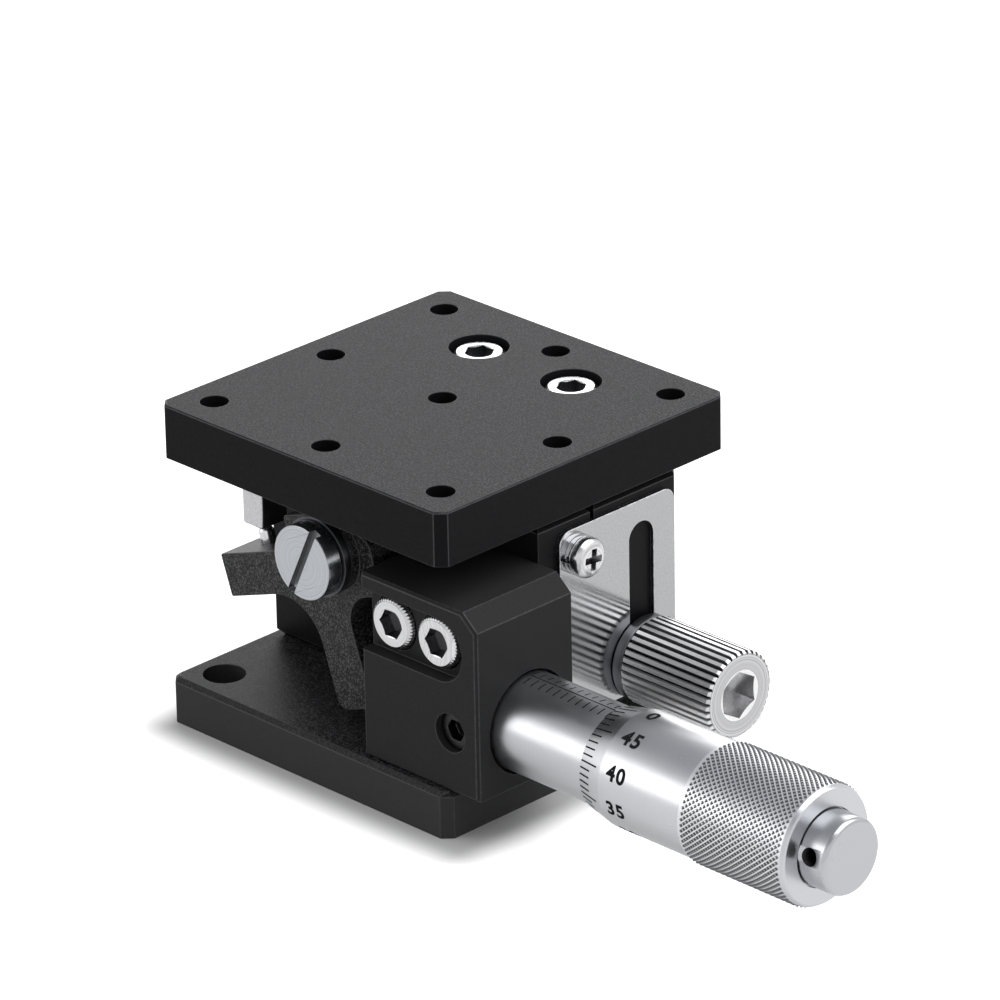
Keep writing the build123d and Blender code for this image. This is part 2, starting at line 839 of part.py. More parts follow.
def clamp_plate():
    plate = box_between(
        (guide_half_width, clamp_front_y, clamp_bottom_z),
        (clamp_face_x, clamp_front_y + clamp_width, clamp_top_z),
    )
    plate = fillet(plate.edges().filter_by(Axis.X), clamp_corner_radius)
    radius = clamp_slot_width / 2
    top = clamp_top_z - clamp_slot_top_drop - radius
    bottom = clamp_bottom_z + clamp_slot_bottom_rise + radius
    slot = box_between(
        (guide_half_width - 1, lock_y - radius, bottom), (clamp_face_x + 1, lock_y + radius, top)
    )
    for z in (bottom, top):
        slot += rod_x(radius, guide_half_width - 1, clamp_face_x + 1, lock_y, z)
    plate -= slot
    hole_radius = screw_radius + hole_clearance
    return plate - rod_x(hole_radius, guide_half_width - 1, clamp_face_x + 1, clamp_screw_y, clamp_screw_z)


def pan_head_screw():
    """Cross-recess pan-head screw: the head stands on z = 0, and the shank points down."""
    shoulder = pan_head_height * (1 - pan_crown)
    outline = [
        (0, pan_head_height),
        (pan_head_radius * (1 - pan_crown), pan_head_height),
        (pan_head_radius, shoulder),
        (pan_head_radius, 0),
        (screw_radius, 0),
        (screw_radius, -pan_screw_length),
        (0, -pan_screw_length),
    ]
    screw = turned(outline)
    for turn in (0, 90):
        recess = Box(pan_recess_length, pan_recess_width, 2 * pan_recess_depth)
        screw -= Pos(0, 0, pan_head_height) * Rot(0, 0, turn) * recess
    return screw


def clamp_plate_screw():
    place = Pos(clamp_face_x + spring_washer_thickness, clamp_screw_y, clamp_screw_z)
    return place * Rot(0, 90, 0) * Rot(0, 0, pan_recess_turn) * pan_head_screw()


def clamp_spring_washer():
    """Spring washer, cut through at one place."""
    end_x = clamp_face_x + spring_washer_thickness
    washer = rod_x(spring_washer_radius, clamp_face_x, end_x, clamp_screw_y, clamp_screw_z)
    washer -= rod_x(screw_radius + side_clearance, clamp_face_x, end_x, clamp_screw_y, clamp_screw_z)
    cut = box_between(
        (clamp_face_x - 1, clamp_screw_y - spring_washer_radius - 1, clamp_screw_z - spring_washer_gap / 2),
        (end_x + 1, clamp_screw_y, clamp_screw_z + spring_washer_gap / 2),
    )
    return washer - cut


lock_washer_start_x = clamp_face_x + lock_running_gap
lock_head_start_x = lock_washer_start_x + lock_washer_thickness + side_clearance
lock_head_end_x = lock_head_start_x + lock_head_length


def lock_washer():
    end_x = lock_washer_start_x + lock_washer_thickness
    washer = rod_x(lock_washer_radius, lock_washer_start_x, end_x, lock_y, lock_screw_z)
    bore = rod_x(screw_radius + hole_clearance, lock_washer_start_x, end_x, lock_y, lock_screw_z)
    return washer - bore


def lock_screw():
    """Thumb screw: a long head with straight knurling and a hexagon socket."""
    corners = []
    for index in range(2 * lock_head_teeth):
        angle = radians(180 * index / lock_head_teeth)
        radius = lock_head_radius - lock_tooth_depth * (index % 2)
        corners.append((radius * cos(angle), radius * sin(angle)))
    head = extrude(make_face(Polyline(corners, close=True)), lock_head_length)
    limit = turned(
        [
            (0, 0),
            (lock_head_radius - lock_tooth_depth, 0),
            (lock_head_radius, lock_tooth_depth),
            (lock_head_radius, lock_head_length - lock_head_chamfer),
            (lock_head_radius - lock_head_chamfer, lock_head_length),
            (0, lock_head_length),
        ]
    )
    head &= limit
    socket_corner = lock_socket / sqrt(3)
    mouth = socket_corner + lock_socket_chamfer
    head -= Pos(0, 0, lock_head_length - lock_socket_depth) * hexagon_prism(lock_socket, lock_socket_depth)
    head -= turned(
        [
            (0, lock_head_length - mouth),
            (mouth, lock_head_length),
            (0, lock_head_length),
        ]
    )
    shank_end = guide_half_width - lock_thread_length - lock_head_start_x
    screw = head + rod_z(screw_radius, shank_end, join_overlap, 0, 0)
    return Pos(lock_head_start_x, lock_y, lock_screw_z) * Rot(0, 90, 0) * screw


# Return spring

spring_y = (fixed_rail_top_y + moving_guide_front_y) / 2


def lower_spring_pin_blank(clearance):
    start = fixed_guide_back_y - spring_pin_length
    end = spring_y + spring_coil_radius
    return rod_y(spring_pin_radius + clearance, start, end, 0, lower_pin_z)


def upper_spring_pin_blank(clearance):
    start = spring_y - spring_coil_radius
    end = web_front_y + spring_pin_length
    return rod_y(spring_pin_radius + clearance, start, end, 0, upper_pin_z)


def spring_loop(pin_z):
    """End loop round a pin, in the plane square to the pin."""
    inner = spring_pin_radius + spring_loop_gap
    ring = Torus(inner + spring_wire_radius, spring_wire_radius)
    return Pos(0, spring_y, pin_z) * Rot(90, 0, 0) * ring


def return_spring():
    reach = spring_pin_radius + spring_loop_gap + spring_wire_radius
    start_z = lower_pin_z + reach + spring_wire_radius
    end_z = upper_pin_z - reach - spring_wire_radius
    height = end_z - start_z
    path = Helix(height / spring_turns, height, spring_coil_radius - spring_wire_radius)
    profile = Plane(path @ 0, z_dir=path % 0) * RegularPolygon(spring_wire_radius, spring_wire_sides)
    coil = Pos(0, spring_y, start_z) * sweep(profile, path)
    hook_half = spring_coil_radius - spring_wire_radius
    spring = coil
    for z in (start_z, end_z):
        spring += rod_x(spring_wire_radius, 0, hook_half, spring_y, z)
    for pin_z in (lower_pin_z, upper_pin_z):
        spring += spring_loop(pin_z)
    return spring


def sub_parts():
    """Every named sub-part: one shape, or a list of equal pieces that share one name."""
    rail = fixed_rail()
    outer_rail = moving_rail()
    cage = roller_cage()
    return {
        "base_plate": base_plate(),
        "base_screws": base_screws(),
        "fixed_guide": fixed_guide(),
        "fixed_rail_right": rail,
        "fixed_rail_left": mirrored(rail),
        "fixed_rail_screws": fixed_rail_screws(),
        "rail_end_stops": rail_end_stops(),
        "moving_guide": moving_guide(),
        "moving_rail_right": outer_rail,
        "moving_rail_left": mirrored(outer_rail),
        "moving_rail_screws": moving_rail_screws(),
        "roller_cage_right": cage,
        "roller_cage_left": mirrored(cage),
        "crossed_rollers_right": crossed_rollers(1),
        "crossed_rollers_left": crossed_rollers(-1),
        "top_plate": top_plate(),
        "top_plate_screws": top_plate_screws(),
        "lift_block": lift_block(),
        "micrometer_block": micrometer_block(),
        "block_screws": block_screws(),
        "stem_set_screw": stem_set_screw(),
        "micrometer_sleeve": micrometer_sleeve(),
        "spindle_nut": spindle_nut(),
        "micrometer_spindle": micrometer_spindle(),
        "thimble": thimble(),
        "thimble_cap": thimble_cap(),
        "bell_crank": bell_crank(),
        "pivot_bush": pivot_bush(),
        "lift_contact_pin": lift_contact_pin(),
        "push_ball": push_ball(),
        "pivot_screw": pivot_screw(),
        "pivot_washer": pivot_washer(),
        "pivot_spacer": pivot_spacer(),
        "clamp_plate": clamp_plate(),
        "clamp_plate_screw": clamp_plate_screw(),
        "clamp_spring_washer": clamp_spring_washer(),
        "lock_washer": lock_washer(),
        "lock_screw": lock_screw(),
        "return_spring": return_spring(),
        "lower_spring_pin": lower_spring_pin_blank(0),
        "upper_spring_pin": upper_spring_pin_blank(0),
    }


os.makedirs("parts", exist_ok=True)
for name, shape in sub_parts().items():
    solid = Compound(children=list(shape)) if isinstance(shape, list) else shape
    export_step(solid, f"parts/{name}.step")
    print(name, round(solid.volume, 3))
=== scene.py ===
import math

import bmesh
import bpy
from mathutils import Matrix, Vector


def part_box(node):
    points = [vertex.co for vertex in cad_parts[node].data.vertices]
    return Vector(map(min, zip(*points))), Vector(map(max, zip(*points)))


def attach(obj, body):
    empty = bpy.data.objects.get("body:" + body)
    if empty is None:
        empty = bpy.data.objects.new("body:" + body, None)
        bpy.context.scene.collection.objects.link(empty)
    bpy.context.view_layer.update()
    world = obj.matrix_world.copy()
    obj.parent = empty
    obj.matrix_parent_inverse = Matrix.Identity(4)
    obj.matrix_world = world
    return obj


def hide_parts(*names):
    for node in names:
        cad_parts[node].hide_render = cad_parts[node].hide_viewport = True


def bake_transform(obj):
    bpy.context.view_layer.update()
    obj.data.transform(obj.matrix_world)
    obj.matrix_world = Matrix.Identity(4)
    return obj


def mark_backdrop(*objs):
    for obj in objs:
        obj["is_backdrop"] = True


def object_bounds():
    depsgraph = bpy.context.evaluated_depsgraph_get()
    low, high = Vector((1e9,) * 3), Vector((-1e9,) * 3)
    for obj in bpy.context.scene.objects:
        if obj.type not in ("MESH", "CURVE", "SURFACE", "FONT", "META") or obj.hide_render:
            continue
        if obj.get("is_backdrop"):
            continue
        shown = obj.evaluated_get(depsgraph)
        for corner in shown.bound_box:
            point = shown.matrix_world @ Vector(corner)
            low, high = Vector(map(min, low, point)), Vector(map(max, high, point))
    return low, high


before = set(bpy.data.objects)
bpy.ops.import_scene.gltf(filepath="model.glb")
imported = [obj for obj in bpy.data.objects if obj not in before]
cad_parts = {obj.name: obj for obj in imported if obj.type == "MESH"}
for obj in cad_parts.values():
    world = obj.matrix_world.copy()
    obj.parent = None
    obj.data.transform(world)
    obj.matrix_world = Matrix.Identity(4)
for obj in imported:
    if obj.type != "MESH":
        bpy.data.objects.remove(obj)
cad_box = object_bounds()
MM = 0.001
print("pieces in the frame:", len(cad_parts))

# %% [markdown]
# ## The camera
# A product portrait of this kind is taken with a long lens from a step back, so that parallel edges stay
# nearly parallel. The camera stands in front of the lever and the thimble, about 24 degrees above the table.
# Its place is given as a turn and a rise about a point inside the stage, which is easy to adjust by eye.
# %% Camera
CAMERA_TURN = math.radians(45.451)
CAMERA_RISE = math.radians(24.319)
CAMERA_ROLL = math.radians(-1.097)
CAMERA_DISTANCE = 717.407 * MM
LOOK_AT = Vector((-5.954, 13.604, 17.5)) * MM
SENSOR_WIDTH = 36.0
FOCAL_IN_IMAGE_WIDTHS = 7.03558


def looking_in(away, distance, centre=Vector((0, 0, 0))):
    """Frame that stands off from the centre in that direction and looks back at it along its own -Z."""
    turn = (-away).to_track_quat("-Z", "Y").to_matrix().to_4x4()
    return Matrix.Translation(centre + away * distance) @ turn


def add_camera():
    away = Vector((math.cos(CAMERA_RISE) * math.sin(CAMERA_TURN),
                   -math.cos(CAMERA_RISE) * math.cos(CAMERA_TURN),
                   math.sin(CAMERA_RISE)))
    data = bpy.data.cameras.new("portrait_camera")
    data.sensor_width = SENSOR_WIDTH
    data.lens = FOCAL_IN_IMAGE_WIDTHS * SENSOR_WIDTH
    data.clip_start = 0.05
    camera = bpy.data.objects.new("portrait_camera", data)
    camera.matrix_world = looking_in(away, CAMERA_DISTANCE, LOOK_AT) @ Matrix.Rotation(CAMERA_ROLL, 4, "Z")
    bpy.context.scene.collection.objects.link(camera)
    bpy.context.scene.camera = camera
    return camera


camera = add_camera()
print("camera stands at", [round(v / MM) for v in camera.matrix_world.translation], "mm")

# %% [markdown]
# ## Node helpers
# Every finish below is a small tree of shader nodes. A few helpers keep those trees readable: the first adds
# a node and fills its sockets, and the others are short forms of the nodes that come back most often.
# %% Node helpers
def add_node(tree, kind, inputs=None, **settings):
    """A node of that kind. Settings are its properties, inputs its socket values or links."""
    node = tree.nodes.new("ShaderNode" + kind)
    for key, value in settings.items():
        setattr(node, key, value)
    for key, value in (inputs or {}).items():
        if isinstance(value, bpy.types.NodeSocket):
            tree.links.new(value, node.inputs[key])
        else:
            node.inputs[key].default_value = value
    return node


def bare_material(name):
    """A material with nothing but its output node."""
    material = bpy.data.materials.new(name)
    material.use_nodes = True
    tree = material.node_tree
    tree.nodes.clear()
    return material, tree, add_node(tree, "OutputMaterial")


def maths(tree, operation, *values):
    """Result of a maths node for numbers."""
    return add_node(tree, "Math", dict(enumerate(values)), operation=operation).outputs[0]


def vector_maths(tree, operation, *values):
    """Result of a maths node for vectors, which is a number only for a length."""
    node = add_node(tree, "VectorMath", dict(enumerate(values)), operation=operation)
    return node.outputs["Value" if operation == "LENGTH" else "Vector"]


def spread(tree, value, low, high, start=0.0, end=1.0, **settings):
    """Stretches what goes from start to end to the range from low to high."""
    return add_node(tree, "MapRange", {0: value, 1: start, 2: end, 3: low, 4: high}, **settings).outputs[0]


def two_tones(tree, value, dark, light, start=0.35, end=0.65):
    """A colour that goes from the first to the second as the value rises from start to end."""
    ramp = add_node(tree, "ValToRGB", {0: value})
    for element, position, colour in zip(ramp.color_ramp.elements, (start, end), (dark, light)):
        element.position = position
        element.color = (*colour, 1)
    return ramp.outputs["Color"]


def seen_directly(tree):
    """1 for camera, glossy and transmission rays, 0 for the rays that light the object."""
    rays = add_node(tree, "LightPath").outputs
    first = maths(tree, "MAXIMUM", rays["Is Camera Ray"], rays["Is Glossy Ray"])
    return maths(tree, "MAXIMUM", first, rays["Is Transmission Ray"])


print("helpers ready")

# %% [markdown]
# ## The studio
# The photograph has a white table that fades into a white background, with a short soft shadow round the
# plate. A wide floor does both. Rays that light the stage see a plain pale surface. The camera sees the
# shadow on a slightly darker surface, which is painted shade, and a painted glow rises to white within a few
# millimetres of the plate and cuts the cast shadow short there. Metal mirrors the floor with a small glow
# too. Metal shows its surroundings, so the room matters: pale walls near the horizon and a greyer ceiling
# give chrome its bright and dark bands.
# %% Floor
FLOOR_SIZE = 6.0
WHITE = (1, 1, 1, 1)
TABLE_COLOUR = (0.7, 0.7, 0.7, 1)
# painted shade: the camera sees the table a little darker than the table that lights the stage
SHADED_COLOUR = (0.66, 0.66, 0.66, 1)
# painted shadow: its reach and its shift to the right set where the painted glow starts round the base plate
SHADOW_REACH = 5.6 * MM
SHADOW_SHIFT = Vector((1.8, -0.4, 0)) * MM
TABLE_PAINTED_GLOW = 0.85
MIRRORED_GLOW = 0.32


def beyond_the_plate(tree, place):
    """Distance on the table from the edge of the painted shadow round the base plate, which is shifted a
    little to the right.
    """
    low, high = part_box("base_plate")
    low, high = low + SHADOW_SHIFT, high + SHADOW_SHIFT
    centre = ((low.x + high.x) / 2, (low.y + high.y) / 2, 0)
    half = ((high.x - low.x) / 2, (high.y - low.y) / 2, 1)
    aside = vector_maths(tree, "ABSOLUTE", vector_maths(tree, "SUBTRACT", place, centre))
    past = vector_maths(tree, "SUBTRACT", aside, half)
    return vector_maths(tree, "LENGTH", vector_maths(tree, "MAXIMUM", past, (0, 0, 0)))


def table_finish():
    material, tree, output = bare_material("white_table")
    matte = add_node(tree, "BsdfDiffuse", {"Color": TABLE_COLOUR}).outputs[0]
    shaded = add_node(tree, "BsdfDiffuse", {"Color": SHADED_COLOUR}).outputs[0]
    white = add_node(tree, "Emission", {"Color": WHITE, "Strength": MIRRORED_GLOW}).outputs[0]
    mirrored = add_node(tree, "AddShader", {0: matte, 1: white}).outputs[0]
    place = add_node(tree, "TexCoord").outputs["Object"]
    # painted glow: none at the edge of the shifted box round the base plate, full white by the reach
    painted_glow_fade = spread(tree, beyond_the_plate(tree, place), 0.0, TABLE_PAINTED_GLOW, 0.0, SHADOW_REACH,
                  interpolation_type="SMOOTHSTEP")
    glow = add_node(tree, "Emission", {"Color": WHITE, "Strength": painted_glow_fade}).outputs[0]
    lit = add_node(tree, "AddShader", {0: shaded, 1: glow}).outputs[0]
    camera_ray = add_node(tree, "LightPath").outputs["Is Camera Ray"]
    seen = add_node(tree, "MixShader", {0: camera_ray, 1: mirrored, 2: lit}).outputs[0]
    mixed = add_node(tree, "MixShader", {0: seen_directly(tree), 1: matte, 2: seen}).outputs[0]
    tree.links.new(mixed, output.inputs["Surface"])
    return material


def add_floor():
    mesh = bpy.data.meshes.new("studio_floor")
    half = FLOOR_SIZE / 2
    bottom = cad_box[0][2]
    corners = [(-half, -half, bottom), (half, -half, bottom), (half, half, bottom), (-half, half, bottom)]
    mesh.from_pydata(corners, [], [(0, 1, 2, 3)])
    mesh.materials.append(table_finish())
    floor = bpy.data.objects.new("studio_floor", mesh)
    bpy.context.scene.collection.objects.link(floor)
    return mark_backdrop(floor)


add_floor()
bpy.context.scene.view_settings.view_transform = "Standard"
print("floor added, view transform:", bpy.context.scene.view_settings.view_transform)

# %% Room light
FILL_LIGHT = 0.5
WALL_TOP = 0.40
CEILING_START = 0.75
CEILING_COLOUR = (0.42, 0.43, 0.45)


def light_the_room():
    """Plain grey light for the surfaces, and a room with pale walls for what they mirror."""
    world = bpy.data.worlds.new("room")
    bpy.context.scene.world = world
    world.use_nodes = True
    tree = world.node_tree
    tree.nodes.clear()
    output = add_node(tree, "OutputWorld")
    fill = add_node(tree, "Background", {"Color": WHITE, "Strength": FILL_LIGHT}).outputs[0]
    direction = add_node(tree, "TexCoord").outputs["Generated"]
    height = add_node(tree, "SeparateXYZ", {0: direction}).outputs["Z"]
    shade = two_tones(tree, height, WHITE[:3], CEILING_COLOUR, WALL_TOP, CEILING_START)
    mirrored = add_node(tree, "Background", {"Color": shade, "Strength": 1.0}).outputs[0]
    mixed = add_node(tree, "MixShader", {0: seen_directly(tree), 1: fill, 2: mirrored}).outputs[0]
    tree.links.new(mixed, output.inputs["Surface"])


light_the_room()
print("room lit")

# %% Soft boxes
# name, azimuth and rise in degrees, distance, width, height, brightness where white is 1
SOFT_BOXES = [
    ("overhead_box", 30, 60, 0.30, 0.32, 0.32, 2.2),
    ("front_left_box", -131, 15, 0.70, 0.34, 0.34, 1.65),
    ("back_left_box", 137, 20, 0.34, 0.24, 0.22, 2.1),
]


def add_soft_box(name, azimuth, rise, distance, width, height, brightness):
    """A rectangle of light that faces the stage. Its power is what gives it that brightness."""
    turn, lift = math.radians(azimuth), math.radians(rise)
    away = Vector((math.cos(lift) * math.cos(turn), math.cos(lift) * math.sin(turn), math.sin(lift)))
    data = bpy.data.lights.new(name, "AREA")
    data.shape = "RECTANGLE"
    data.size = width
    data.size_y = height
    data.energy = brightness * math.pi * width * height
    lamp = bpy.data.objects.new(name, data)
    lamp.visible_camera = False
    lamp.matrix_world = looking_in(away, distance)
    bpy.context.scene.collection.objects.link(lamp)
    print(name, "power", round(data.energy, 2), "W")


for box in SOFT_BOXES:
    add_soft_box(*box)

# %% [markdown]
# ## Finishes
# The stage has four kinds of surface: blasted and anodised aluminium, satin chrome on the micrometer, bright
# plated or polished steel, and plain ground steel. Each is a Principled shader whose colour, roughness and
# bump vary at the size of the real texture: blasting leaves pits a tenth of a millimetre across, and a lathe
# leaves rings finer than that.
#
# The textures read object coordinates. A CAD piece has its origin at the stage's origin, and a piece made
# here has its own axis as Z, so both sorts are measured in metres and move with their body.
# %% Base of every finish
def start_finish(name, colour, metallic, roughness):
    """A Principled material, with its shader and object coordinates ready for texture."""
    material, tree, output = bare_material(name)
    shader = add_node(tree, "BsdfPrincipled", {"Base Color": (*colour, 1), "Metallic": metallic,
                                               "Roughness": roughness})
    tree.links.new(shader.outputs[0], output.inputs["Surface"])
    place = add_node(tree, "TexCoord").outputs["Object"]
    return material, tree, shader, place


def noise(tree, place, size, detail=2.0):
    """Noise whose blotches are about that size, in metres."""
    return add_node(tree, "TexNoise", {"Vector": place, "Scale": 1 / size, "Detail": detail}).outputs[0]


def bump(tree, height, depth, strength=0.5):
    """Bump of that depth, in metres."""
    return add_node(tree, "Bump", {"Height": height, "Distance": depth, "Strength": strength}).outputs[0]


def connect(tree, shader, links):
    """Links the shader's sockets to what drives them."""
    for socket, value in links.items():
        tree.links.new(value, shader.inputs[socket])


# %% Anodised aluminium
def looks_up_or_down(tree):
    """1 on the faces that look up or down, 0 on the sides."""
    normal = add_node(tree, "TexCoord").outputs["Normal"]
    up = add_node(tree, "SeparateXYZ", {0: normal}).outputs["Z"]
    return spread(tree, maths(tree, "ABSOLUTE", up), 0.0, 1.0, 0.6, 0.9)


def anodised(name, dark, light, grain, roughness, depth, gloss, sides=None):
    """Blasted grain of that size under a dark dye, uneven in colour and sheen. With a colour for the sides,
    only the faces that look up or down keep the grain, and the milled sides are smooth and take that colour.
    That colour is partly the milled finish and partly painted light and shade, set piece by piece."""
    material, tree, shader, place = start_finish(name, dark, 0.0, roughness)
    shader.inputs["Specular IOR Level"].default_value = gloss
    pits = noise(tree, place, grain, 3.0)
    sheen = spread(tree, pits, roughness - 0.1, roughness + 0.1, 0.38, 0.62)
    colour = two_tones(tree, pits, dark, light, 0.46, 0.63)
    # the side colour is partly painted shade and light; the faces that look up or down keep the lighter grain
    if sides:
        blasted_and_lit = looks_up_or_down(tree)
        colour = add_node(tree, "MixRGB", {0: blasted_and_lit, 1: (*sides, 1), 2: colour}).outputs[0]
        pits = maths(tree, "MULTIPLY", pits, blasted_and_lit)
    relief = bump(tree, pits, depth, 0.7 if sides else 0.5)
    connect(tree, shader, {"Base Color": colour, "Roughness": sheen, "Normal": relief})
    return material


# The colours for the sides are partly the milled finish and partly painted light and shade: near black on the
# top plate's sides, lighter on the base plate's sides.
PLATE_TONES = ((0.005, 0.005, 0.006), (0.084, 0.084, 0.088))
plate_finish = anodised("anodised_plate", *PLATE_TONES, 0.19 * MM, 0.50, 0.04 * MM, 0.07,
                        (0.006, 0.006, 0.007))
base_finish = anodised("anodised_base", *PLATE_TONES, 0.19 * MM, 0.50, 0.04 * MM, 0.10,
                       (0.038, 0.038, 0.039))
guide_finish = anodised("anodised_guide", (0.003, 0.003, 0.004), (0.008, 0.008, 0.009), 0.14 * MM, 0.45,
                        0.02 * MM, 0.10)
lever_finish = anodised("anodised_lever", (0.002, 0.002, 0.003), (0.100, 0.100, 0.103), 0.16 * MM, 0.46,
                        0.04 * MM, 0.20)
block_finish = anodised("anodised_block", (0.025, 0.025, 0.026), (0.031, 0.031, 0.032), 0.10 * MM, 0.40,
                        0.006 * MM, 0.05)
print("anodised finishes:", plate_finish.name, guide_finish.name, lever_finish.name, block_finish.name)

# %% Cut edges: wear and a painted highlight
def darker(colour, tone):
    return tuple(c * tone for c in colour)


def cut_edge(name, colour, roughness):
    """The narrow bevels, in a colour of their own: partly real wear where the cutter passed last and the dye
    is thin, and partly a painted highlight along each cut edge.
    """
    material, tree, shader, place = start_finish(name, colour, 0.4, roughness)
    wear_and_highlight = noise(tree, place, 0.5 * MM, 4.0)
    connect(tree, shader, {"Base Color": two_tones(tree, wear_and_highlight, darker(colour, 0.55), colour, 0.35, 0.6),
                           "Roughness": spread(tree, wear_and_highlight, roughness, roughness + 0.15)})
    return material


# The edge colours are partly real wear and partly a painted highlight; the steel edge is far brighter than
# the steel faces.
anodised_edge = cut_edge("anodised_edge", (0.04, 0.04, 0.043), 0.42)
lever_edge = cut_edge("lever_edge", (0.06, 0.06, 0.065), 0.38)
steel_edge = cut_edge("steel_edge", (0.85, 0.85, 0.86), 0.15)
print("edges:", anodised_edge.name, lever_edge.name, steel_edge.name)

# %% Turned and ground metal
ACROSS = {"X": (0, 1, 1), "Y": (1, 0, 1), "Z": (1, 1, 0)}


def turned_metal(name, colour, roughness, ring=0.05 * MM, depth=0.0015 * MM, tone=0.88, axis="Z",
                 centre=(0, 0, 0), metallic=1.0):
    """Metal from the lathe: fine rings round the axis on its faces, and across it on its sides."""
    material, tree, shader, place = start_finish(name, colour, metallic, roughness)
    offset = vector_maths(tree, "SUBTRACT", place, centre)
    radius = vector_maths(tree, "LENGTH", vector_maths(tree, "MULTIPLY", offset, ACROSS[axis]))
    along = add_node(tree, "SeparateXYZ", {0: offset}).outputs[axis]
    path = maths(tree, "ADD", radius, along)
    rings = add_node(tree, "TexNoise", {"W": path, "Scale": 1 / ring, "Detail": 2.0},
                     noise_dimensions="1D").outputs[0]
    smudge = noise(tree, place, 2.5 * MM, 3.0)
    connect(tree, shader, {"Base Color": two_tones(tree, rings, darker(colour, tone), colour),
                           "Roughness": spread(tree, smudge, roughness * 0.8, roughness * 1.2),
                           "Normal": bump(tree, rings, depth)})
    return material


def flat_metal(name, colour, roughness, sparkle=0.12 * MM, depth=0.002 * MM, tone=0.9):
    """Ground or polished flat metal, with a fine sparkle."""
    material, tree, shader, place = start_finish(name, colour, 1.0, roughness)
    flecks = noise(tree, place, sparkle, 3.0)
    clouds = noise(tree, place, 4 * MM)
    connect(tree, shader, {"Base Color": two_tones(tree, flecks, darker(colour, tone), colour),
                           "Roughness": spread(tree, clouds, roughness * 0.75, roughness * 1.25),
                           "Normal": bump(tree, flecks, depth)})
    return material


print("metal finishes ready")

# %% [markdown]
# ## Softening the CAD edges
# A CAD solid ends in perfectly sharp edges, which catch no light. Real machined parts have a narrow bevel on
# every edge, and that thin bright line is what makes the photograph look solid. Four modifiers add it without
# touching the CAD mesh: Weld joins the split vertices, Decimate turns the triangles of a flat face into one
# face, Bevel cuts the edges, and Weighted Normal keeps the flat faces flat. The bevel gets a material slot of
# its own, so cut edges can carry their wear and a painted highlight, brighter than the faces.
# %% Edge modifiers
SHARP = math.radians(35)
FLAT = math.radians(0.2)
WELD_DISTANCE = 0.0005 * MM


def smooth_shading():
    """A node group that shades every face smooth, for the modifier stack."""
    group = bpy.data.node_groups.new("shade_smooth", "GeometryNodeTree")
    group.interface.new_socket("Geometry", in_out="INPUT", socket_type="NodeSocketGeometry")
    group.interface.new_socket("Geometry", in_out="OUTPUT", socket_type="NodeSocketGeometry")
    entry = group.nodes.new("NodeGroupInput")
    smooth = group.nodes.new("GeometryNodeSetShadeSmooth")
    leave = group.nodes.new("NodeGroupOutput")
    group.links.new(entry.outputs[0], smooth.inputs["Geometry"])
    group.links.new(smooth.outputs[0], leave.inputs[0])
    return group


smooth_group = smooth_shading()


def add_modifier(piece, name, kind, **settings):
    """Adds a modifier of that kind with those settings to the piece's stack."""
    modifier = piece.modifiers.new(name, kind)
    for key, value in settings.items():
        setattr(modifier, key, value)


def dress_node(name, face, edge=None, bevel=0.08 * MM):
    """Gives a CAD node its finish, and a narrow bevel with the edge finish."""
    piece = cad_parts[name]
    piece.data.materials.clear()
    piece.data.materials.append(face)
    piece.data.materials.append(edge or face)
    add_modifier(piece, "shade_smooth", "NODES", node_group=smooth_group)
    add_modifier(piece, "join_corners", "WELD", merge_threshold=WELD_DISTANCE)
    add_modifier(piece, "merge_flat_faces", "DECIMATE", decimate_type="DISSOLVE", angle_limit=FLAT)
    add_modifier(piece, "cut_edges", "BEVEL", width=bevel, segments=2, limit_method="ANGLE",
                 angle_limit=SHARP, use_clamp_overlap=False, loop_slide=False, material=1,
                 face_strength_mode="FSTR_ALL")
    add_modifier(piece, "keep_faces_flat", "WEIGHTED_NORMAL", keep_sharp=False, use_face_influence=True)


dress_node("base_plate", base_finish, anodised_edge, 0.07 * MM)
dress_node("top_plate", plate_finish, anodised_edge, 0.07 * MM)
for name in ("fixed_guide", "moving_guide"):
    dress_node(name, guide_finish, anodised_edge, 0.06 * MM)
dress_node("micrometer_block", block_finish, anodised_edge, 0.08 * MM)
dress_node("bell_crank", lever_finish, lever_edge, 0.10 * MM)
print("anodised pieces dressed")

# %% [markdown]
# ## Small steel pieces
# Washers, rails, rollers and pins are turned or ground steel. Their shape in CAD is already right, so they
# only need their finish and a fine edge. Each washer's rings are centred on its own axis.
# %% Finishes for the small pieces
def middle(name):
    low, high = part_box(name)
    return (low + high) / 2


washer_grey = turned_metal("grey_washer", (0.24, 0.24, 0.26), 0.36, axis="X", centre=middle("lock_washer"))
pivot_grey = turned_metal("pivot_washer_grey", (0.10, 0.10, 0.11), 0.42, axis="Y",
                          centre=middle("pivot_washer"))
ground_steel = flat_metal("ground_steel", (0.62, 0.62, 0.63), 0.22)
pin_steel = flat_metal("pin_steel", (0.72, 0.72, 0.74), 0.16, 0.08 * MM)
block_steel = flat_metal("ground_block_steel", (0.60, 0.60, 0.62), 0.30, 0.16 * MM, 0.004 * MM, 0.8)
bronze = flat_metal("plain_bronze", (0.60, 0.42, 0.20), 0.30)
spring_steel = flat_metal("spring_steel", (0.50, 0.50, 0.51), 0.28)
black_steel = turned_metal("blackened_steel", (0.045, 0.045, 0.047), 0.34, 0.22 * MM, 0.012 * MM, 0.55, "Y",
                           middle("stem_set_screw"))
cage_finish = flat_metal("cage_sheet", (0.55, 0.46, 0.28), 0.35)
mirror_steel = flat_metal("mirror_steel", (0.44, 0.45, 0.46), 0.11, 0.16 * MM, 0.0016 * MM, 0.86)
print("small finishes ready")

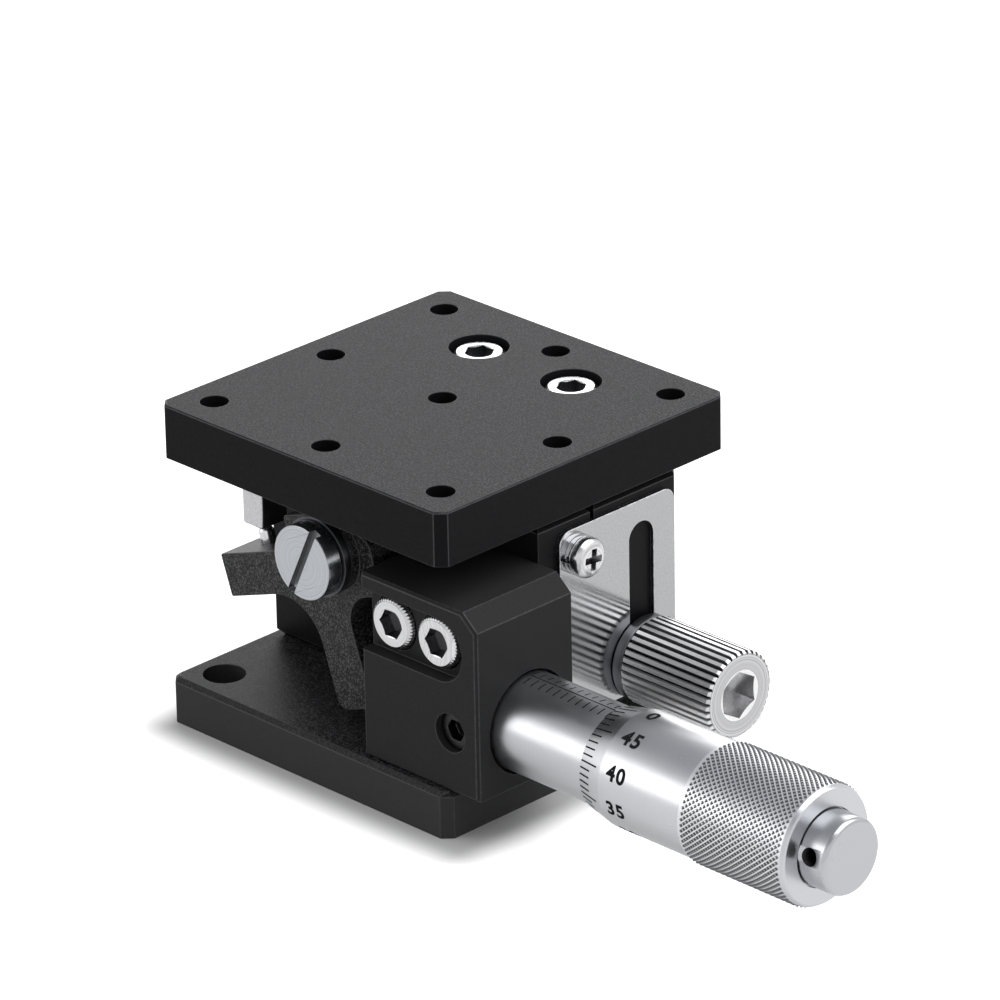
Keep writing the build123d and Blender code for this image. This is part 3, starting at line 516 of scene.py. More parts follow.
# %% Dress the small pieces
GROUND = ("fixed_rail_right", "fixed_rail_left", "moving_rail_right", "moving_rail_left", "fixed_rail_screws",
          "moving_rail_screws", "rail_end_stops", "crossed_rollers_right", "crossed_rollers_left",
          "lower_spring_pin", "upper_spring_pin", "pivot_spacer", "micrometer_spindle")
for name in GROUND:
    dress_node(name, ground_steel, steel_edge, 0.05 * MM)
dress_node("lift_block", block_steel, steel_edge, 0.05 * MM)
for name in ("lift_contact_pin", "push_ball"):
    dress_node(name, pin_steel, steel_edge, 0.04 * MM)
for name in ("roller_cage_right", "roller_cage_left"):
    dress_node(name, cage_finish, bevel=0.03 * MM)
for name in ("pivot_bush", "spindle_nut"):
    dress_node(name, bronze, bevel=0.06 * MM)
dress_node("lock_washer", washer_grey, bevel=0.06 * MM)
dress_node("pivot_washer", pivot_grey, bevel=0.05 * MM)
dress_node("clamp_spring_washer", pin_steel, steel_edge, 0.06 * MM)
dress_node("stem_set_screw", black_steel, bevel=0.12 * MM)
dress_node("clamp_plate", mirror_steel, steel_edge, 0.07 * MM)
print("small pieces dressed")

# %% [markdown]
# ## The micrometer's sleeve and its scale
# The sleeve is a satin chrome tube. Its scale is engraved and filled with black: one long line, a mark for
# every millimetre on the near side and one for every half millimetre on the far side. A mark is made here as
# a thin patch of the tube's own curve that stands a hundredth of a millimetre proud, so its edges stay crisp
# in any view.
# %% Chrome and black ink
sleeve_low, sleeve_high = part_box("micrometer_sleeve")
thimble_low, thimble_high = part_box("thimble")
AXIS_Y = (thimble_low.y + thimble_high.y) / 2
AXIS_Z = (thimble_low.z + thimble_high.z) / 2
axis_point = (0, AXIS_Y, AXIS_Z)
chrome = turned_metal("satin_chrome", (0.54, 0.55, 0.57), 0.32, 0.07 * MM, 0.001 * MM, 0.95, "X", axis_point)
dress_node("micrometer_sleeve", chrome, bevel=0.06 * MM)


def engraved_ink():
    """Matt black paint in the engraving. With no gloss it stays black where the chrome is brightest."""
    material, tree, shader, place = start_finish("engraved_ink", (0.01, 0.01, 0.011), 0.0, 0.8)
    shader.inputs["Specular IOR Level"].default_value = 0.0
    crumbs = noise(tree, place, 0.09 * MM, 3.0)
    connect(tree, shader, {"Base Color": two_tones(tree, crumbs, (0.006, 0.006, 0.007), (0.03, 0.03, 0.033)),
                           "Normal": bump(tree, crumbs, 0.01 * MM)})
    return material


ink = engraved_ink()
print("micrometer axis at", round(AXIS_Y / MM, 2), round(AXIS_Z / MM, 2), "mm")

# %% Build a piece from points
def make_piece(name, points, faces, finishes, place=None, smooth_angle=30):
    """A mesh object in its own frame, shaded smooth except at edges sharper than the angle."""
    mesh = bpy.data.meshes.new(name)
    mesh.from_pydata(points, [], faces)
    for finish in finishes:
        mesh.materials.append(finish)
    mesh.validate()
    mesh.shade_smooth()
    mesh.set_sharp_from_angle(angle=math.radians(smooth_angle))
    piece = bpy.data.objects.new(name, mesh)
    piece.matrix_world = place or Matrix.Identity(4)
    bpy.context.scene.collection.objects.link(piece)
    return piece


def on_axis(x, radius, degrees):
    """A point round the micrometer's axis. 0 degrees faces the lever's side and 90 degrees is on top."""
    turn = math.radians(degrees)
    return Vector((x, AXIS_Y - radius * math.cos(turn), AXIS_Z + radius * math.sin(turn)))


def add_patch(points, faces, corners, steps, surface):
    """A curved strip between two x places and two angles. The surface gives the radius at an x place."""
    (x0, x1), (a0, a1) = corners
    first = len(points)
    for i in range(steps + 1):
        angle = a0 + (a1 - a0) * i / steps
        points.append(on_axis(x0, surface(x0), angle))
        points.append(on_axis(x1, surface(x1), angle))
    for i in range(steps):
        corner = first + 2 * i
        faces.append((corner, corner + 1, corner + 3, corner + 2))


# %% Scale on the sleeve
PROUD = 0.012 * MM
LINE = 0.15 * MM
SLEEVE_RADIUS = (sleeve_high.y - sleeve_low.y) / 2
INDEX_ANGLE = 90.0
BLOCK_FACE_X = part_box("micrometer_block")[1].x
THIMBLE_FRONT_X = thimble_low.x
MILLIMETRE_MARK = (-17, -4)
HALF_MARK = (4, 14)
FIRST_MARK = 0.55


def sleeve_surface(x):
    return SLEEVE_RADIUS + PROUD


def sleeve_scale():
    """A long line on top. Marks run a little way round from it, in degrees."""
    points, faces = [], []
    half_line = math.degrees(LINE / 2 / SLEEVE_RADIUS)
    start_x, end_x = BLOCK_FACE_X + 0.3 * MM, THIMBLE_FRONT_X + 0.3 * MM
    long_line = ((start_x, end_x), (INDEX_ANGLE - half_line, INDEX_ANGLE + half_line))
    add_patch(points, faces, long_line, 2, sleeve_surface)
    marks = int((end_x - BLOCK_FACE_X) / MM)
    for i in range(marks):
        mark_x = end_x - (i + FIRST_MARK) * MM
        for x, (low, high) in ((mark_x, MILLIMETRE_MARK), (mark_x - 0.5 * MM, HALF_MARK)):
            mark = ((x - LINE / 2, x + LINE / 2), (INDEX_ANGLE + low, INDEX_ANGLE + high))
            add_patch(points, faces, mark, 6, sleeve_surface)
    print("millimetre marks on the sleeve:", marks)
    return make_piece("sleeve_scale", points, faces, [ink])


sleeve_marks = sleeve_scale()
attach(sleeve_marks, "base")

# %% [markdown]
# ## The thimble
# The thimble is turned from bar: a bevelled front edge with fifty divisions, a plain barrel with the numbers,
# a knurled grip and a flat end. The body is a lathe shape, made by sweeping a profile round the axis. The
# knurl is diamonds raised between two sets of crossing grooves. Sculpting them would cost millions of faces,
# so each diamond is one small truncated pyramid, set on a lattice that closes round the barrel. The tips and
# the groove floor carry a painted highlight, and the flanks painted shade.
# %% Rings of points
def polygon(radius, corners):
    """Outline of a regular polygon round Z, which passes for a circle when it has many corners."""
    turns = [2 * math.pi * i / corners for i in range(corners)]
    return [(radius * math.cos(turn), radius * math.sin(turn)) for turn in turns]


def ring_faces(rings, steps, capped=True):
    """Faces between rings of points. Both ends are capped, or else the last ring joins the first."""
    faces = []
    for ring in range(rings - 1 if capped else rings):
        below, above = ring * steps, (ring + 1) % rings * steps
        for i in range(steps):
            j = (i + 1) % steps
            faces.append((below + i, below + j, above + j, above + i))
    if capped:
        faces.append(tuple(reversed(range(steps))))
        faces.append(tuple(range((rings - 1) * steps, rings * steps)))
    return faces


def lathe(profile, steps):
    """Points and faces of a closed profile of (along, radius) swept round Z."""
    points = [(x, y, along) for along, radius in profile for x, y in polygon(radius, steps)]
    return points, ring_faces(len(profile), steps, capped=False)


def along_x(x, y, z):
    """Frame whose Z runs along the stage's +X, from that point."""
    return Matrix.Translation((x, y, z)) @ Matrix.Rotation(math.radians(90), 4, "Y")


# %% Body of the thimble
BARREL_RADIUS = 6.0 * MM
BEVEL_LENGTH = 3.1 * MM
BEVEL_FRONT_RADIUS = 5.35 * MM
KNURL_RADIUS = (thimble_high.y - thimble_low.y) / 2
KNURL_LENGTH = 13.1 * MM
END_RING = 0.45 * MM
THIMBLE_LENGTH = thimble_high.x - thimble_low.x
GROOVE_RADIUS = 6.07 * MM
BORE_RADIUS = 5.2 * MM
CAP_SEAT_RADIUS = 4.06 * MM


def thimble_body():
    end = THIMBLE_LENGTH
    knurl_end = end - END_RING
    knurl_start = knurl_end - KNURL_LENGTH
    lip = 0.06 * MM
    profile = [
        (0.02 * MM, BORE_RADIUS), (0, BORE_RADIUS + 0.03 * MM), (0, BEVEL_FRONT_RADIUS - lip),
        (lip, BEVEL_FRONT_RADIUS), (BEVEL_LENGTH - lip, BARREL_RADIUS - 0.02 * MM),
        (BEVEL_LENGTH + lip, BARREL_RADIUS), (knurl_start, BARREL_RADIUS), (knurl_start, GROOVE_RADIUS),
        (knurl_end, GROOVE_RADIUS), (knurl_end + 0.02 * MM, KNURL_RADIUS - 0.16 * MM),
        (end - 0.12 * MM, KNURL_RADIUS - 0.34 * MM), (end - 0.03 * MM, KNURL_RADIUS - 0.43 * MM),
        (end, KNURL_RADIUS - 0.55 * MM), (end, CAP_SEAT_RADIUS), (end - 0.6 * MM, CAP_SEAT_RADIUS),
        (end - 0.6 * MM, BORE_RADIUS / 2), (end - 4 * MM, BORE_RADIUS / 2), (end - 4 * MM, BORE_RADIUS),
    ]
    points, faces = lathe(profile, 160)
    turned = make_piece("thimble_body", points, faces, [thimble_chrome, knurl_painted_highlight],
                        along_x(THIMBLE_FRONT_X, AXIS_Y, AXIS_Z), 12)
    # the groove floor under the knurl gets the painted highlight
    for face in turned.data.polygons:
        under_knurl = knurl_start < face.center.z < knurl_end - 0.1 * MM
        if under_knurl and face.center.length > GROOVE_RADIUS - 0.1 * MM:
            face.material_index = 1
    return turned


thimble_chrome = turned_metal("thimble_chrome", (0.59, 0.60, 0.62), 0.30, 0.07 * MM, 0.001 * MM, 0.95)
# painted highlight: a bright colour for the knurl's tips and groove floor
knurl_painted_highlight = flat_metal("knurl_painted_highlight", (0.76, 0.77, 0.79), 0.42, 0.2 * MM)
body = thimble_body()
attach(body, "thimble")
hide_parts("thimble")

# %% Diamonds of the knurl
DIAMONDS_ROUND = 64
DIAMOND_LENGTH = 0.70 * MM
GROOVE_SHARE = 0.30
TIP_SHARE = 0.24


def knurl_diamonds():
    """Truncated pyramids at every second point of a lattice round the barrel."""
    points, faces, tips = [], [], []
    half_turn = math.pi / DIAMONDS_ROUND
    half_length = DIAMOND_LENGTH / 2
    rows = int(KNURL_LENGTH / half_length) - 1
    start = THIMBLE_LENGTH - END_RING - (rows + 1) * half_length
    for row in range(1, rows + 1):
        for column in range(2 * DIAMONDS_ROUND):
            if (row + column) % 2 == 0:
                continue
            first = len(points)
            for share, radius in ((1 - GROOVE_SHARE, GROOVE_RADIUS - 0.01 * MM), (TIP_SHARE, KNURL_RADIUS)):
                for across, along in ((1, 0), (0, 1), (-1, 0), (0, -1)):
                    turn = (column + across * share) * half_turn
                    height = start + (row + along * share) * half_length
                    points.append((radius * math.cos(turn), radius * math.sin(turn), height))
            # flanks get finish 0, painted shade; the flat tip gets finish 1, painted highlight
            for i in range(4):
                j = (i + 1) % 4
                faces.append((first + i, first + j, first + 4 + j, first + 4 + i))
                tips.append(0)
            faces.append((first + 4, first + 5, first + 6, first + 7))
            tips.append(1)
    return points, faces, tips


def add_knurl():
    points, faces, tips = knurl_diamonds()
    piece = make_piece("thimble_knurl", points, faces, [knurl_painted_shade, knurl_painted_highlight],
                       along_x(THIMBLE_FRONT_X, AXIS_Y, AXIS_Z), 1)
    piece.data.polygons.foreach_set("material_index", tips)
    print("diamonds:", len(faces) // 5)
    return piece


# painted shade: a dark colour for the knurl's flanks
knurl_painted_shade = flat_metal("knurl_painted_shade", (0.15, 0.155, 0.165), 0.45, 0.2 * MM)
knurl = add_knurl()
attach(knurl, "thimble")

# %% [markdown]
# ## Divisions and numbers of the thimble
# Fifty divisions round the bevel each stand for a hundredth of a millimetre, with a longer line and a number
# at every fifth. The numbers are text turned into mesh, cut into narrow strips and bent round the barrel, so
# that each stroke follows the curve.
# %% Divisions on the bevel
DIVISIONS = 50
ZERO_ANGLE = 91.5
LONG_DIVISION = 2.4 * MM
SHORT_DIVISION = 1.45 * MM


def bevel_surface(x):
    share = (x - THIMBLE_FRONT_X) / BEVEL_LENGTH
    return BEVEL_FRONT_RADIUS + (BARREL_RADIUS - BEVEL_FRONT_RADIUS) * share + PROUD


def thimble_divisions():
    points, faces = [], []
    start = THIMBLE_FRONT_X + 0.08 * MM
    width = math.degrees(LINE / 2 / BEVEL_FRONT_RADIUS)
    for i in range(DIVISIONS):
        angle = ZERO_ANGLE + i * 360 / DIVISIONS
        length = LONG_DIVISION if i % 5 == 0 else SHORT_DIVISION
        add_patch(points, faces, ((start, start + length), (angle - width, angle + width)), 1, bevel_surface)
    return make_piece("thimble_divisions", points, faces, [ink])


division_marks = thimble_divisions()
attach(division_marks, "thimble")
print("divisions:", DIVISIONS)

# %% Numbers on the barrel
NUMBER_SIZE = 2.2 * MM
NUMBER_START_X = THIMBLE_FRONT_X + 4.0 * MM
NUMBER_BOLDNESS = 0.068 * MM
NUMBER_SPACING = 1.15
STRIP = 0.1 * MM


def flat_number(text):
    """The number as a flat mesh, cut into strips of equal height."""
    curve = bpy.data.curves.new("number", "FONT")
    curve.body = text
    curve.size = NUMBER_SIZE
    curve.offset = NUMBER_BOLDNESS
    curve.space_character = NUMBER_SPACING
    curve.align_y = "CENTER"
    holder = bpy.data.objects.new("number", curve)
    mesh = bpy.data.meshes.new_from_object(holder)
    shape = bmesh.new()
    shape.from_mesh(mesh)
    for step in range(-12, 13):
        everything = shape.verts[:] + shape.edges[:] + shape.faces[:]
        bmesh.ops.bisect_plane(shape, geom=everything, plane_co=(0, step * STRIP, 0), plane_no=(0, 1, 0))
    points = [tuple(v.co) for v in shape.verts]
    shape.verts.index_update()
    faces = [tuple(v.index for v in f.verts) for f in shape.faces]
    shape.free()
    bpy.data.objects.remove(holder)
    bpy.data.curves.remove(curve)
    return points, faces


def thimble_numbers():
    points, faces = [], []
    for i in range(0, DIVISIONS, 5):
        flat, outline = flat_number(str(i))
        first = len(points)
        for u, v, _ in flat:
            angle = ZERO_ANGLE + i * 360 / DIVISIONS + math.degrees(v / BARREL_RADIUS)
            points.append(on_axis(NUMBER_START_X + u, BARREL_RADIUS + PROUD, angle))
        faces += [tuple(first + k for k in face) for face in outline]
    return make_piece("thimble_numbers", points, faces, [ink])


number_marks = thimble_numbers()
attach(number_marks, "thimble")
print("faces in the numbers:", len(number_marks.data.polygons))

# %% [markdown]
# ## Screw heads
# Nothing says machine as plainly as a well made screw head. Each is a stack of rings, grooved where it is
# knurled, and the drive is cut out with a Boolean. The tool for a hexagon socket ends in a cone, as a forging
# punch does.
# %% Cutting and bevelling
def apply_modifiers(piece):
    """Makes the modifier stack part of the mesh."""
    graph = bpy.context.evaluated_depsgraph_get()
    mesh = bpy.data.meshes.new_from_object(piece.evaluated_get(graph))
    piece.modifiers.clear()
    piece.data = mesh
    return piece


def punch(piece, tool, place, finishes, wall=1):
    """Cuts the tool out of the piece. The walls of the cut get the finish of that number."""
    for finish in finishes:
        tool.data.materials.append(finish)
    tool.data.polygons.foreach_set("material_index", [wall] * len(tool.data.polygons))
    tool.matrix_world = place
    bpy.context.view_layer.update()
    add_modifier(piece, "cut", "BOOLEAN", operation="DIFFERENCE", solver="EXACT", object=tool)
    apply_modifiers(piece)
    bpy.data.objects.remove(tool)
    return piece


def true_up(piece):
    """Weighted normals: a flat face shades as flat, right up to the small bevels round it."""
    add_modifier(piece, "true_up", "WEIGHTED_NORMAL", keep_sharp=True, weight=100)
    return apply_modifiers(piece)


def shade_again(piece, sharp=SHARP):
    """Smooth shading with that angle for a sharp edge, and clean normals."""
    piece.data.shade_smooth()
    piece.data.set_sharp_from_angle(angle=sharp)
    return true_up(piece)


def soften(piece, width, angle):
    """A real bevel on the piece's sharp edges, and clean shading."""
    add_modifier(piece, "soften", "BEVEL", width=width, segments=2, limit_method="ANGLE", angle_limit=angle,
                 use_clamp_overlap=False)
    return shade_again(apply_modifiers(piece))


def prism(name, outline, low, high, point=0.0, scales=(1, 1)):
    """A prism over an outline round Z, which may be scaled differently at its low and high end. With a point,
    its lower end runs on into a shallow cone."""
    count = len(outline)
    ends = zip((low, high), scales)
    points = [(x * scale, y * scale, height) for height, scale in ends for x, y in outline]
    faces = ring_faces(2, count)
    if point:
        points.append((0, 0, low - point))
        faces[count:count + 1] = [((i + 1) % count, i, 2 * count) for i in range(count)]
    return make_piece(name, points, faces, [])


def turned_by(angle, outline):
    """The same outline, turned about Z."""
    return [(x * math.cos(angle) - y * math.sin(angle), x * math.sin(angle) + y * math.cos(angle))
            for x, y in outline]


# %% Stack of rings
def ring_stack(levels, steps, teeth=1, knurl=None):
    """Points and faces of a closed stack of rings round Z. A level is a height and a radius, and True where
    it is knurled. The knurl gives a point's radius from its place across a tooth and the level's radius."""
    points = []
    for height, radius, *knurled in levels:
        for i in range(steps):
            turn = 2 * math.pi * i / steps
            reach = knurl(i * teeth / steps, radius) if knurled else radius
            points.append((reach * math.cos(turn), reach * math.sin(turn), height))
    return points, ring_faces(len(levels), steps)


# %% [markdown]
# ## Socket head screws
# Six equal screws of three millimetres hold the top plate, the micrometer block and the guide. Their heads
# are fine-knurled on the side so that fingers can start them, and bright on the face.
# %% Socket head screw
HEAD_RADIUS = 2.75 * MM
HEAD_HEIGHT = 3.0 * MM
HEAD_EDGE = 0.42 * MM
SHANK_RADIUS = 1.5 * MM
SOCKET = 2.75 * MM
SOCKET_DEPTH = 1.4 * MM
SOCKET_MOUTH = 1.65 * MM
HEAD_TEETH = 44
HEAD_TOOTH_DEPTH = 0.075 * MM


def fine_knurl(place, radius):
    """Rounded grooves, deepest half way across a tooth."""
    return radius - HEAD_TOOTH_DEPTH * (1 - abs(math.cos(math.pi * place)))


def hexagon(across_flats):
    return polygon(across_flats / math.sqrt(3), 6)


def countersink(mouth, height):
    """Tool for the chamfer round a socket: a cone that opens to that radius at that height."""
    over, slope, corners = 0.4 * MM, 0.45, 60
    points = [(x, y, height + over * slope) for x, y in polygon(mouth + over, corners)]
    points.append((0, 0, height - mouth * slope))
    faces = [((i + 1) % corners, i, corners) for i in range(corners)] + [tuple(range(corners))]
    return make_piece("countersink", points, faces, [])


def socket_screw(length, place):
    top, finishes = HEAD_HEIGHT, [screw_steel, socket_painted_shade]
    levels = [
        (-length, SHANK_RADIUS - 0.4 * MM), (0.4 * MM - length, SHANK_RADIUS), (-0.02 * MM, SHANK_RADIUS),
        (0, HEAD_RADIUS - 0.15 * MM), (0.1 * MM, HEAD_RADIUS, True), (top - HEAD_EDGE, HEAD_RADIUS, True),
        (top - 0.7 * HEAD_EDGE, HEAD_RADIUS - 0.06 * MM, True),
        (top - 0.3 * HEAD_EDGE, HEAD_RADIUS - 0.20 * MM, True),
        (top - 0.06 * MM, HEAD_RADIUS - 0.36 * MM), (top, HEAD_RADIUS - HEAD_EDGE),
    ]
    points, faces = ring_stack(levels, HEAD_TEETH * 6, HEAD_TEETH, fine_knurl)
    screw = make_piece("socket_screw", points, faces, finishes, place)
    tool = prism("socket_punch", hexagon(SOCKET), top - SOCKET_DEPTH, top + MM, 0.35 * MM)
    punch(screw, tool, place, finishes)
    punch(screw, countersink(SOCKET_MOUTH, top), place, finishes, wall=0)
    return shade_again(screw)


screw_steel = turned_metal("screw_steel", (0.74, 0.74, 0.75), 0.24, 0.16 * MM, 0.003 * MM, 0.8)
# painted shade: the walls of the hexagon sockets and of the cross recess are painted dark
socket_painted_shade = flat_metal("socket_wall", (0.20, 0.20, 0.21), 0.28, 0.2 * MM, 0.006 * MM)
print("screw finishes ready")

# %% Place the socket head screws
# node, body, axis of the screws, 1 where their heads are at its high end, tip that points the heads there
SCREW_PAIRS = [
    ("top_plate_screws", "stage", 2, 1, 0),
    ("block_screws", "base", 1, 0, 90),
    ("base_screws", "base", 2, 0, 180),
]


def tipped(point, degrees):
    """Frame at that point, tipped about X: Z points up at 0 degrees, to -Y at 90 and down at 180."""
    return Matrix.Translation(point) @ Matrix.Rotation(math.radians(degrees), 4, "X")


def join(pieces):
    """One mesh in the frame of the first piece."""
    bpy.context.view_layer.update()
    first = pieces[0]
    whole = bmesh.new()
    for piece in pieces:
        copy = piece.data.copy()
        copy.transform(first.matrix_world.inverted() @ piece.matrix_world)
        whole.from_mesh(copy)
    whole.to_mesh(first.data)
    whole.free()
    for piece in pieces[1:]:
        bpy.data.objects.remove(piece)
    return first


def add_screws(name, body_name, axis, end, tip):
    """One piece for a node's two equal screws, which stand side by side along X."""
    low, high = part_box(name)
    length = high[axis] - low[axis] - HEAD_HEIGHT
    seat = middle(name)
    seat[axis] = high[axis] - HEAD_HEIGHT if end else low[axis] + HEAD_HEIGHT
    screws = []
    for x in (low.x + HEAD_RADIUS, high.x - HEAD_RADIUS):
        seat.x = x
        screws.append(socket_screw(length, tipped(seat, tip)))
    piece = join(screws)
    piece.name = name + "_dressed"
    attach(piece, body_name)
    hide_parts(name)
    print(piece.name, len(piece.data.polygons), "faces")


for pair in SCREW_PAIRS:
    add_screws(*pair)

# %% [markdown]
# ## The end cap
# A plug closes the thimble. It is turned like the thimble, its edge is rounded over, and a small hole in its
# side takes a pin spanner. The rounding is a quarter circle of rings, and the hole is drilled with a Boolean.
# %% End cap
CAP_ROUNDING = 0.55 * MM
CAP_HOLE_RADIUS = 0.92 * MM
CAP_HOLE_TURN = 78.0
CAP_HOLE_SETBACK = 2.0 * MM


def thimble_end_cap():
    """A short turned plug with a rounded edge and a hole for the pin spanner."""
    low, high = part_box("thimble_cap")
    radius, length = (high.y - low.y) / 2, high.x - low.x
    levels = [(0, radius - 0.1 * MM), (0.1 * MM, radius)]
    for step in range(7):
        bend = math.radians(15 * step)
        height = length - CAP_ROUNDING * (1 - math.sin(bend))
        levels.append((height, radius - CAP_ROUNDING * (1 - math.cos(bend))))
    points, faces = ring_stack(levels, 120)
    finishes = [cap_chrome, hole_painted_shade]
    cap = make_piece("end_cap", points, faces, finishes, along_x(low.x, AXIS_Y, AXIS_Z), 40)
    drill = prism("cap_drill", polygon(CAP_HOLE_RADIUS, 30), radius / 2, radius + MM, 0.4 * MM)
    side = tipped((high.x - CAP_HOLE_SETBACK, AXIS_Y, AXIS_Z), CAP_HOLE_TURN)
    return true_up(punch(cap, drill, side, finishes))


cap_chrome = turned_metal("cap_chrome", (0.50, 0.51, 0.53), 0.26, 0.12 * MM, 0.001 * MM, 0.95)
# painted shade: the spanner hole is painted near black inside
hole_painted_shade = flat_metal("hole_painted_shade", (0.03, 0.03, 0.032), 0.5, 0.2 * MM)
cap = thimble_end_cap()
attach(cap, "thimble")
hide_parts("thimble_cap")
print("end cap faces:", len(cap.data.polygons))

# %% [markdown]
# ## The thumb screw
# The locking screw is turned from one bar and nickel plated. Coarse straight knurling gives the fingers their
# grip, and its bright crests and dark grooves are the strongest contrast in the picture; the dark of the
# grooves is painted shade. The end is faced flat, with fine rings, round a hexagon socket whose mouth is
# chamfered.
# %% Thumb screw
lock_low, lock_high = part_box("lock_screw")
LOCK_RADIUS = 4.6 * MM
LOCK_HEAD_LENGTH = 12.0 * MM
LOCK_TEETH = 36
LOCK_TOOTH_DEPTH = 0.42 * MM
LOCK_STEPS = 12
LOCK_PAINTED_SHADE_STEPS = (3, 4, 5, 6)
LOCK_CHAMFER = 0.24 * MM
LOCK_CHAMFER_RINGS = (0.03, 0.08, 0.14, 0.19, 0.24)
LOCK_SOCKET = 4.4 * MM
LOCK_SOCKET_DEPTH = 5.0 * MM


def coarse_knurl(place, radius):
    """Straight knurl of crests and rounded grooves. No point lies further out than the radius given."""
    across = abs((place % 1.0) - 0.5) * 2
    depth = LOCK_TOOTH_DEPTH * (1 - min(1.0, across / 0.50) ** 1.4)
    return min(radius, LOCK_RADIUS - depth)


def thumb_screw():
    """A knurled head on a plain shank. Four of the twelve steps of each tooth, on the groove's floor, are
    painted dark as shade.
    """
    centre, top = middle("lock_screw"), LOCK_HEAD_LENGTH
    place = along_x(lock_high.x - top, centre.y, centre.z)
    tip = lock_low.x - lock_high.x + top
    levels = [(tip, SHANK_RADIUS - 0.3 * MM), (tip + 0.3 * MM, SHANK_RADIUS), (-0.02 * MM, SHANK_RADIUS),
              (0, LOCK_RADIUS - LOCK_TOOTH_DEPTH - 0.1 * MM)]
    plain_rings = len(levels)
    rim = [(ring * MM, LOCK_RADIUS - LOCK_CHAMFER + ring * MM) for ring in LOCK_CHAMFER_RINGS]
    levels += [(height, radius, True) for height, radius in rim]
    levels += [(top - height, radius, True) for height, radius in reversed(rim)]
    levels.append((top, LOCK_RADIUS - LOCK_CHAMFER, True))
    steps = LOCK_TEETH * LOCK_STEPS
    points, faces = ring_stack(levels, steps, LOCK_TEETH, coarse_knurl)
    finishes = [nickel, socket_nickel, faced_nickel, groove_painted_shade]
    screw = make_piece("thumb_screw", points, faces, finishes, place)
    for number in range((plain_rings - 1) * steps, (len(levels) - 1) * steps):
        if number % LOCK_STEPS in LOCK_PAINTED_SHADE_STEPS:
            screw.data.polygons[number].material_index = 3
    screw.data.polygons[len(faces) - 1].material_index = 2
    tool = prism("hexagon_broach", hexagon(LOCK_SOCKET), top - LOCK_SOCKET_DEPTH, top + MM, 0.8 * MM)
    punch(screw, tool, place, finishes)
    mouth = LOCK_SOCKET / math.sqrt(3) + 0.13 * MM
    punch(screw, countersink(mouth, top), place, finishes, wall=0)
    return shade_again(screw, math.radians(32))


nickel = turned_metal("bright_nickel", (0.93, 0.93, 0.93), 0.40, 0.08 * MM, 0.0016 * MM, 0.9, metallic=0.82)
faced_nickel = turned_metal("faced_nickel", (0.64, 0.64, 0.65), 0.26, 0.20 * MM, 0.008 * MM, 0.62)
# painted shade: the near-black floor of each groove
groove_painted_shade = flat_metal("groove_painted_shade", (0.07, 0.07, 0.075), 0.45, 0.2 * MM)
socket_nickel = flat_metal("socket_nickel", (0.80, 0.80, 0.81), 0.22, 0.3 * MM, 0.02 * MM)
thumb = thumb_screw()
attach(thumb, "lock_screw")
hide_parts("lock_screw")
print("thumb screw faces:", len(thumb.data.polygons))

# %% [markdown]
# ## The cross-recess screw
# A small pan-head screw with a split washer holds the clamp plate. The head is domed, and the cross recess
# has tapered wings, which is what lets the driver centre itself.
# %% Pan-head screw
pan_low, pan_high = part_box("clamp_plate_screw")
PAN_RADIUS = 2.1 * MM
PAN_HEIGHT = 1.3 * MM
PAN_RIM_HEIGHT = 0.5 * MM
PAN_CROWN = 0.42
DOME_ARC = 86
DOME_RINGS = 10
WING_HALF_WIDTH = 0.36 * MM
WING_REACH = 1.18 * MM
RECESS_DEPTH = 0.75 * MM
RECESS_SCALES = (0.55, 1.15)
RECESS_TURN = math.radians(-6)


def pan_levels():
    """Heights and radii of a domed head over its shank."""
    shank = pan_high.x - pan_low.x - PAN_HEIGHT
    levels = [(-shank, SHANK_RADIUS - 0.3 * MM), (0.3 * MM - shank, SHANK_RADIUS), (-0.01 * MM, SHANK_RADIUS),
              (0, PAN_RADIUS - 0.04 * MM), (0.04 * MM, PAN_RADIUS)]
    for ring in range(DOME_RINGS + 1):
        rise = math.radians(DOME_ARC * ring / DOME_RINGS)
        radius = PAN_RADIUS * (PAN_CROWN + (1 - PAN_CROWN) * math.cos(rise))
        levels.append((PAN_RIM_HEIGHT + (PAN_HEIGHT - PAN_RIM_HEIGHT) * math.sin(rise), radius))
    return levels


def cross_tool():
    """Two tapered wings at right angles."""
    reach, narrow = WING_REACH, WING_HALF_WIDTH
    outline = []
    for quarter in range(4):
        wing = ((reach, -narrow), (reach, narrow), (narrow, narrow))
        outline += turned_by(math.radians(90 * quarter) + RECESS_TURN, wing)
    floor, top = PAN_HEIGHT - RECESS_DEPTH, PAN_HEIGHT + 0.3 * MM
    return prism("cross_punch", outline, floor, top, scales=RECESS_SCALES)


def pan_screw():
    centre, finishes = middle("clamp_plate_screw"), [screw_steel, socket_painted_shade]
    place = along_x(pan_high.x - PAN_HEIGHT, centre.y, centre.z)
    points, faces = ring_stack(pan_levels(), 72)
    screw = make_piece("pan_screw", points, faces, finishes, place)
    return shade_again(punch(screw, cross_tool(), place, finishes))


pan = pan_screw()
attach(pan, "base")
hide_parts("clamp_plate_screw")
print("pan screw faces:", len(pan.data.polygons))

# %% [markdown]
# ## The pivot screw
# The lever swings on a shoulder screw with a wide slotted head. Its face keeps the lathe's rings, its side is
# polished, and the slot is milled straight across.
# %% Pivot screw
pivot_low, pivot_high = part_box("pivot_screw")
PIVOT_HEAD_HEIGHT = 1.9 * MM
PIVOT_HEAD_RADIUS = (pivot_high.x - pivot_low.x) / 2
PIVOT_SLOT_WIDTH = 0.9 * MM
PIVOT_SLOT_DEPTH = 0.8 * MM
PIVOT_SLOT_TURN = math.radians(25)
SHOULDER_RADIUS = 2.0 * MM
PIVOT_THREAD = 5.0 * MM


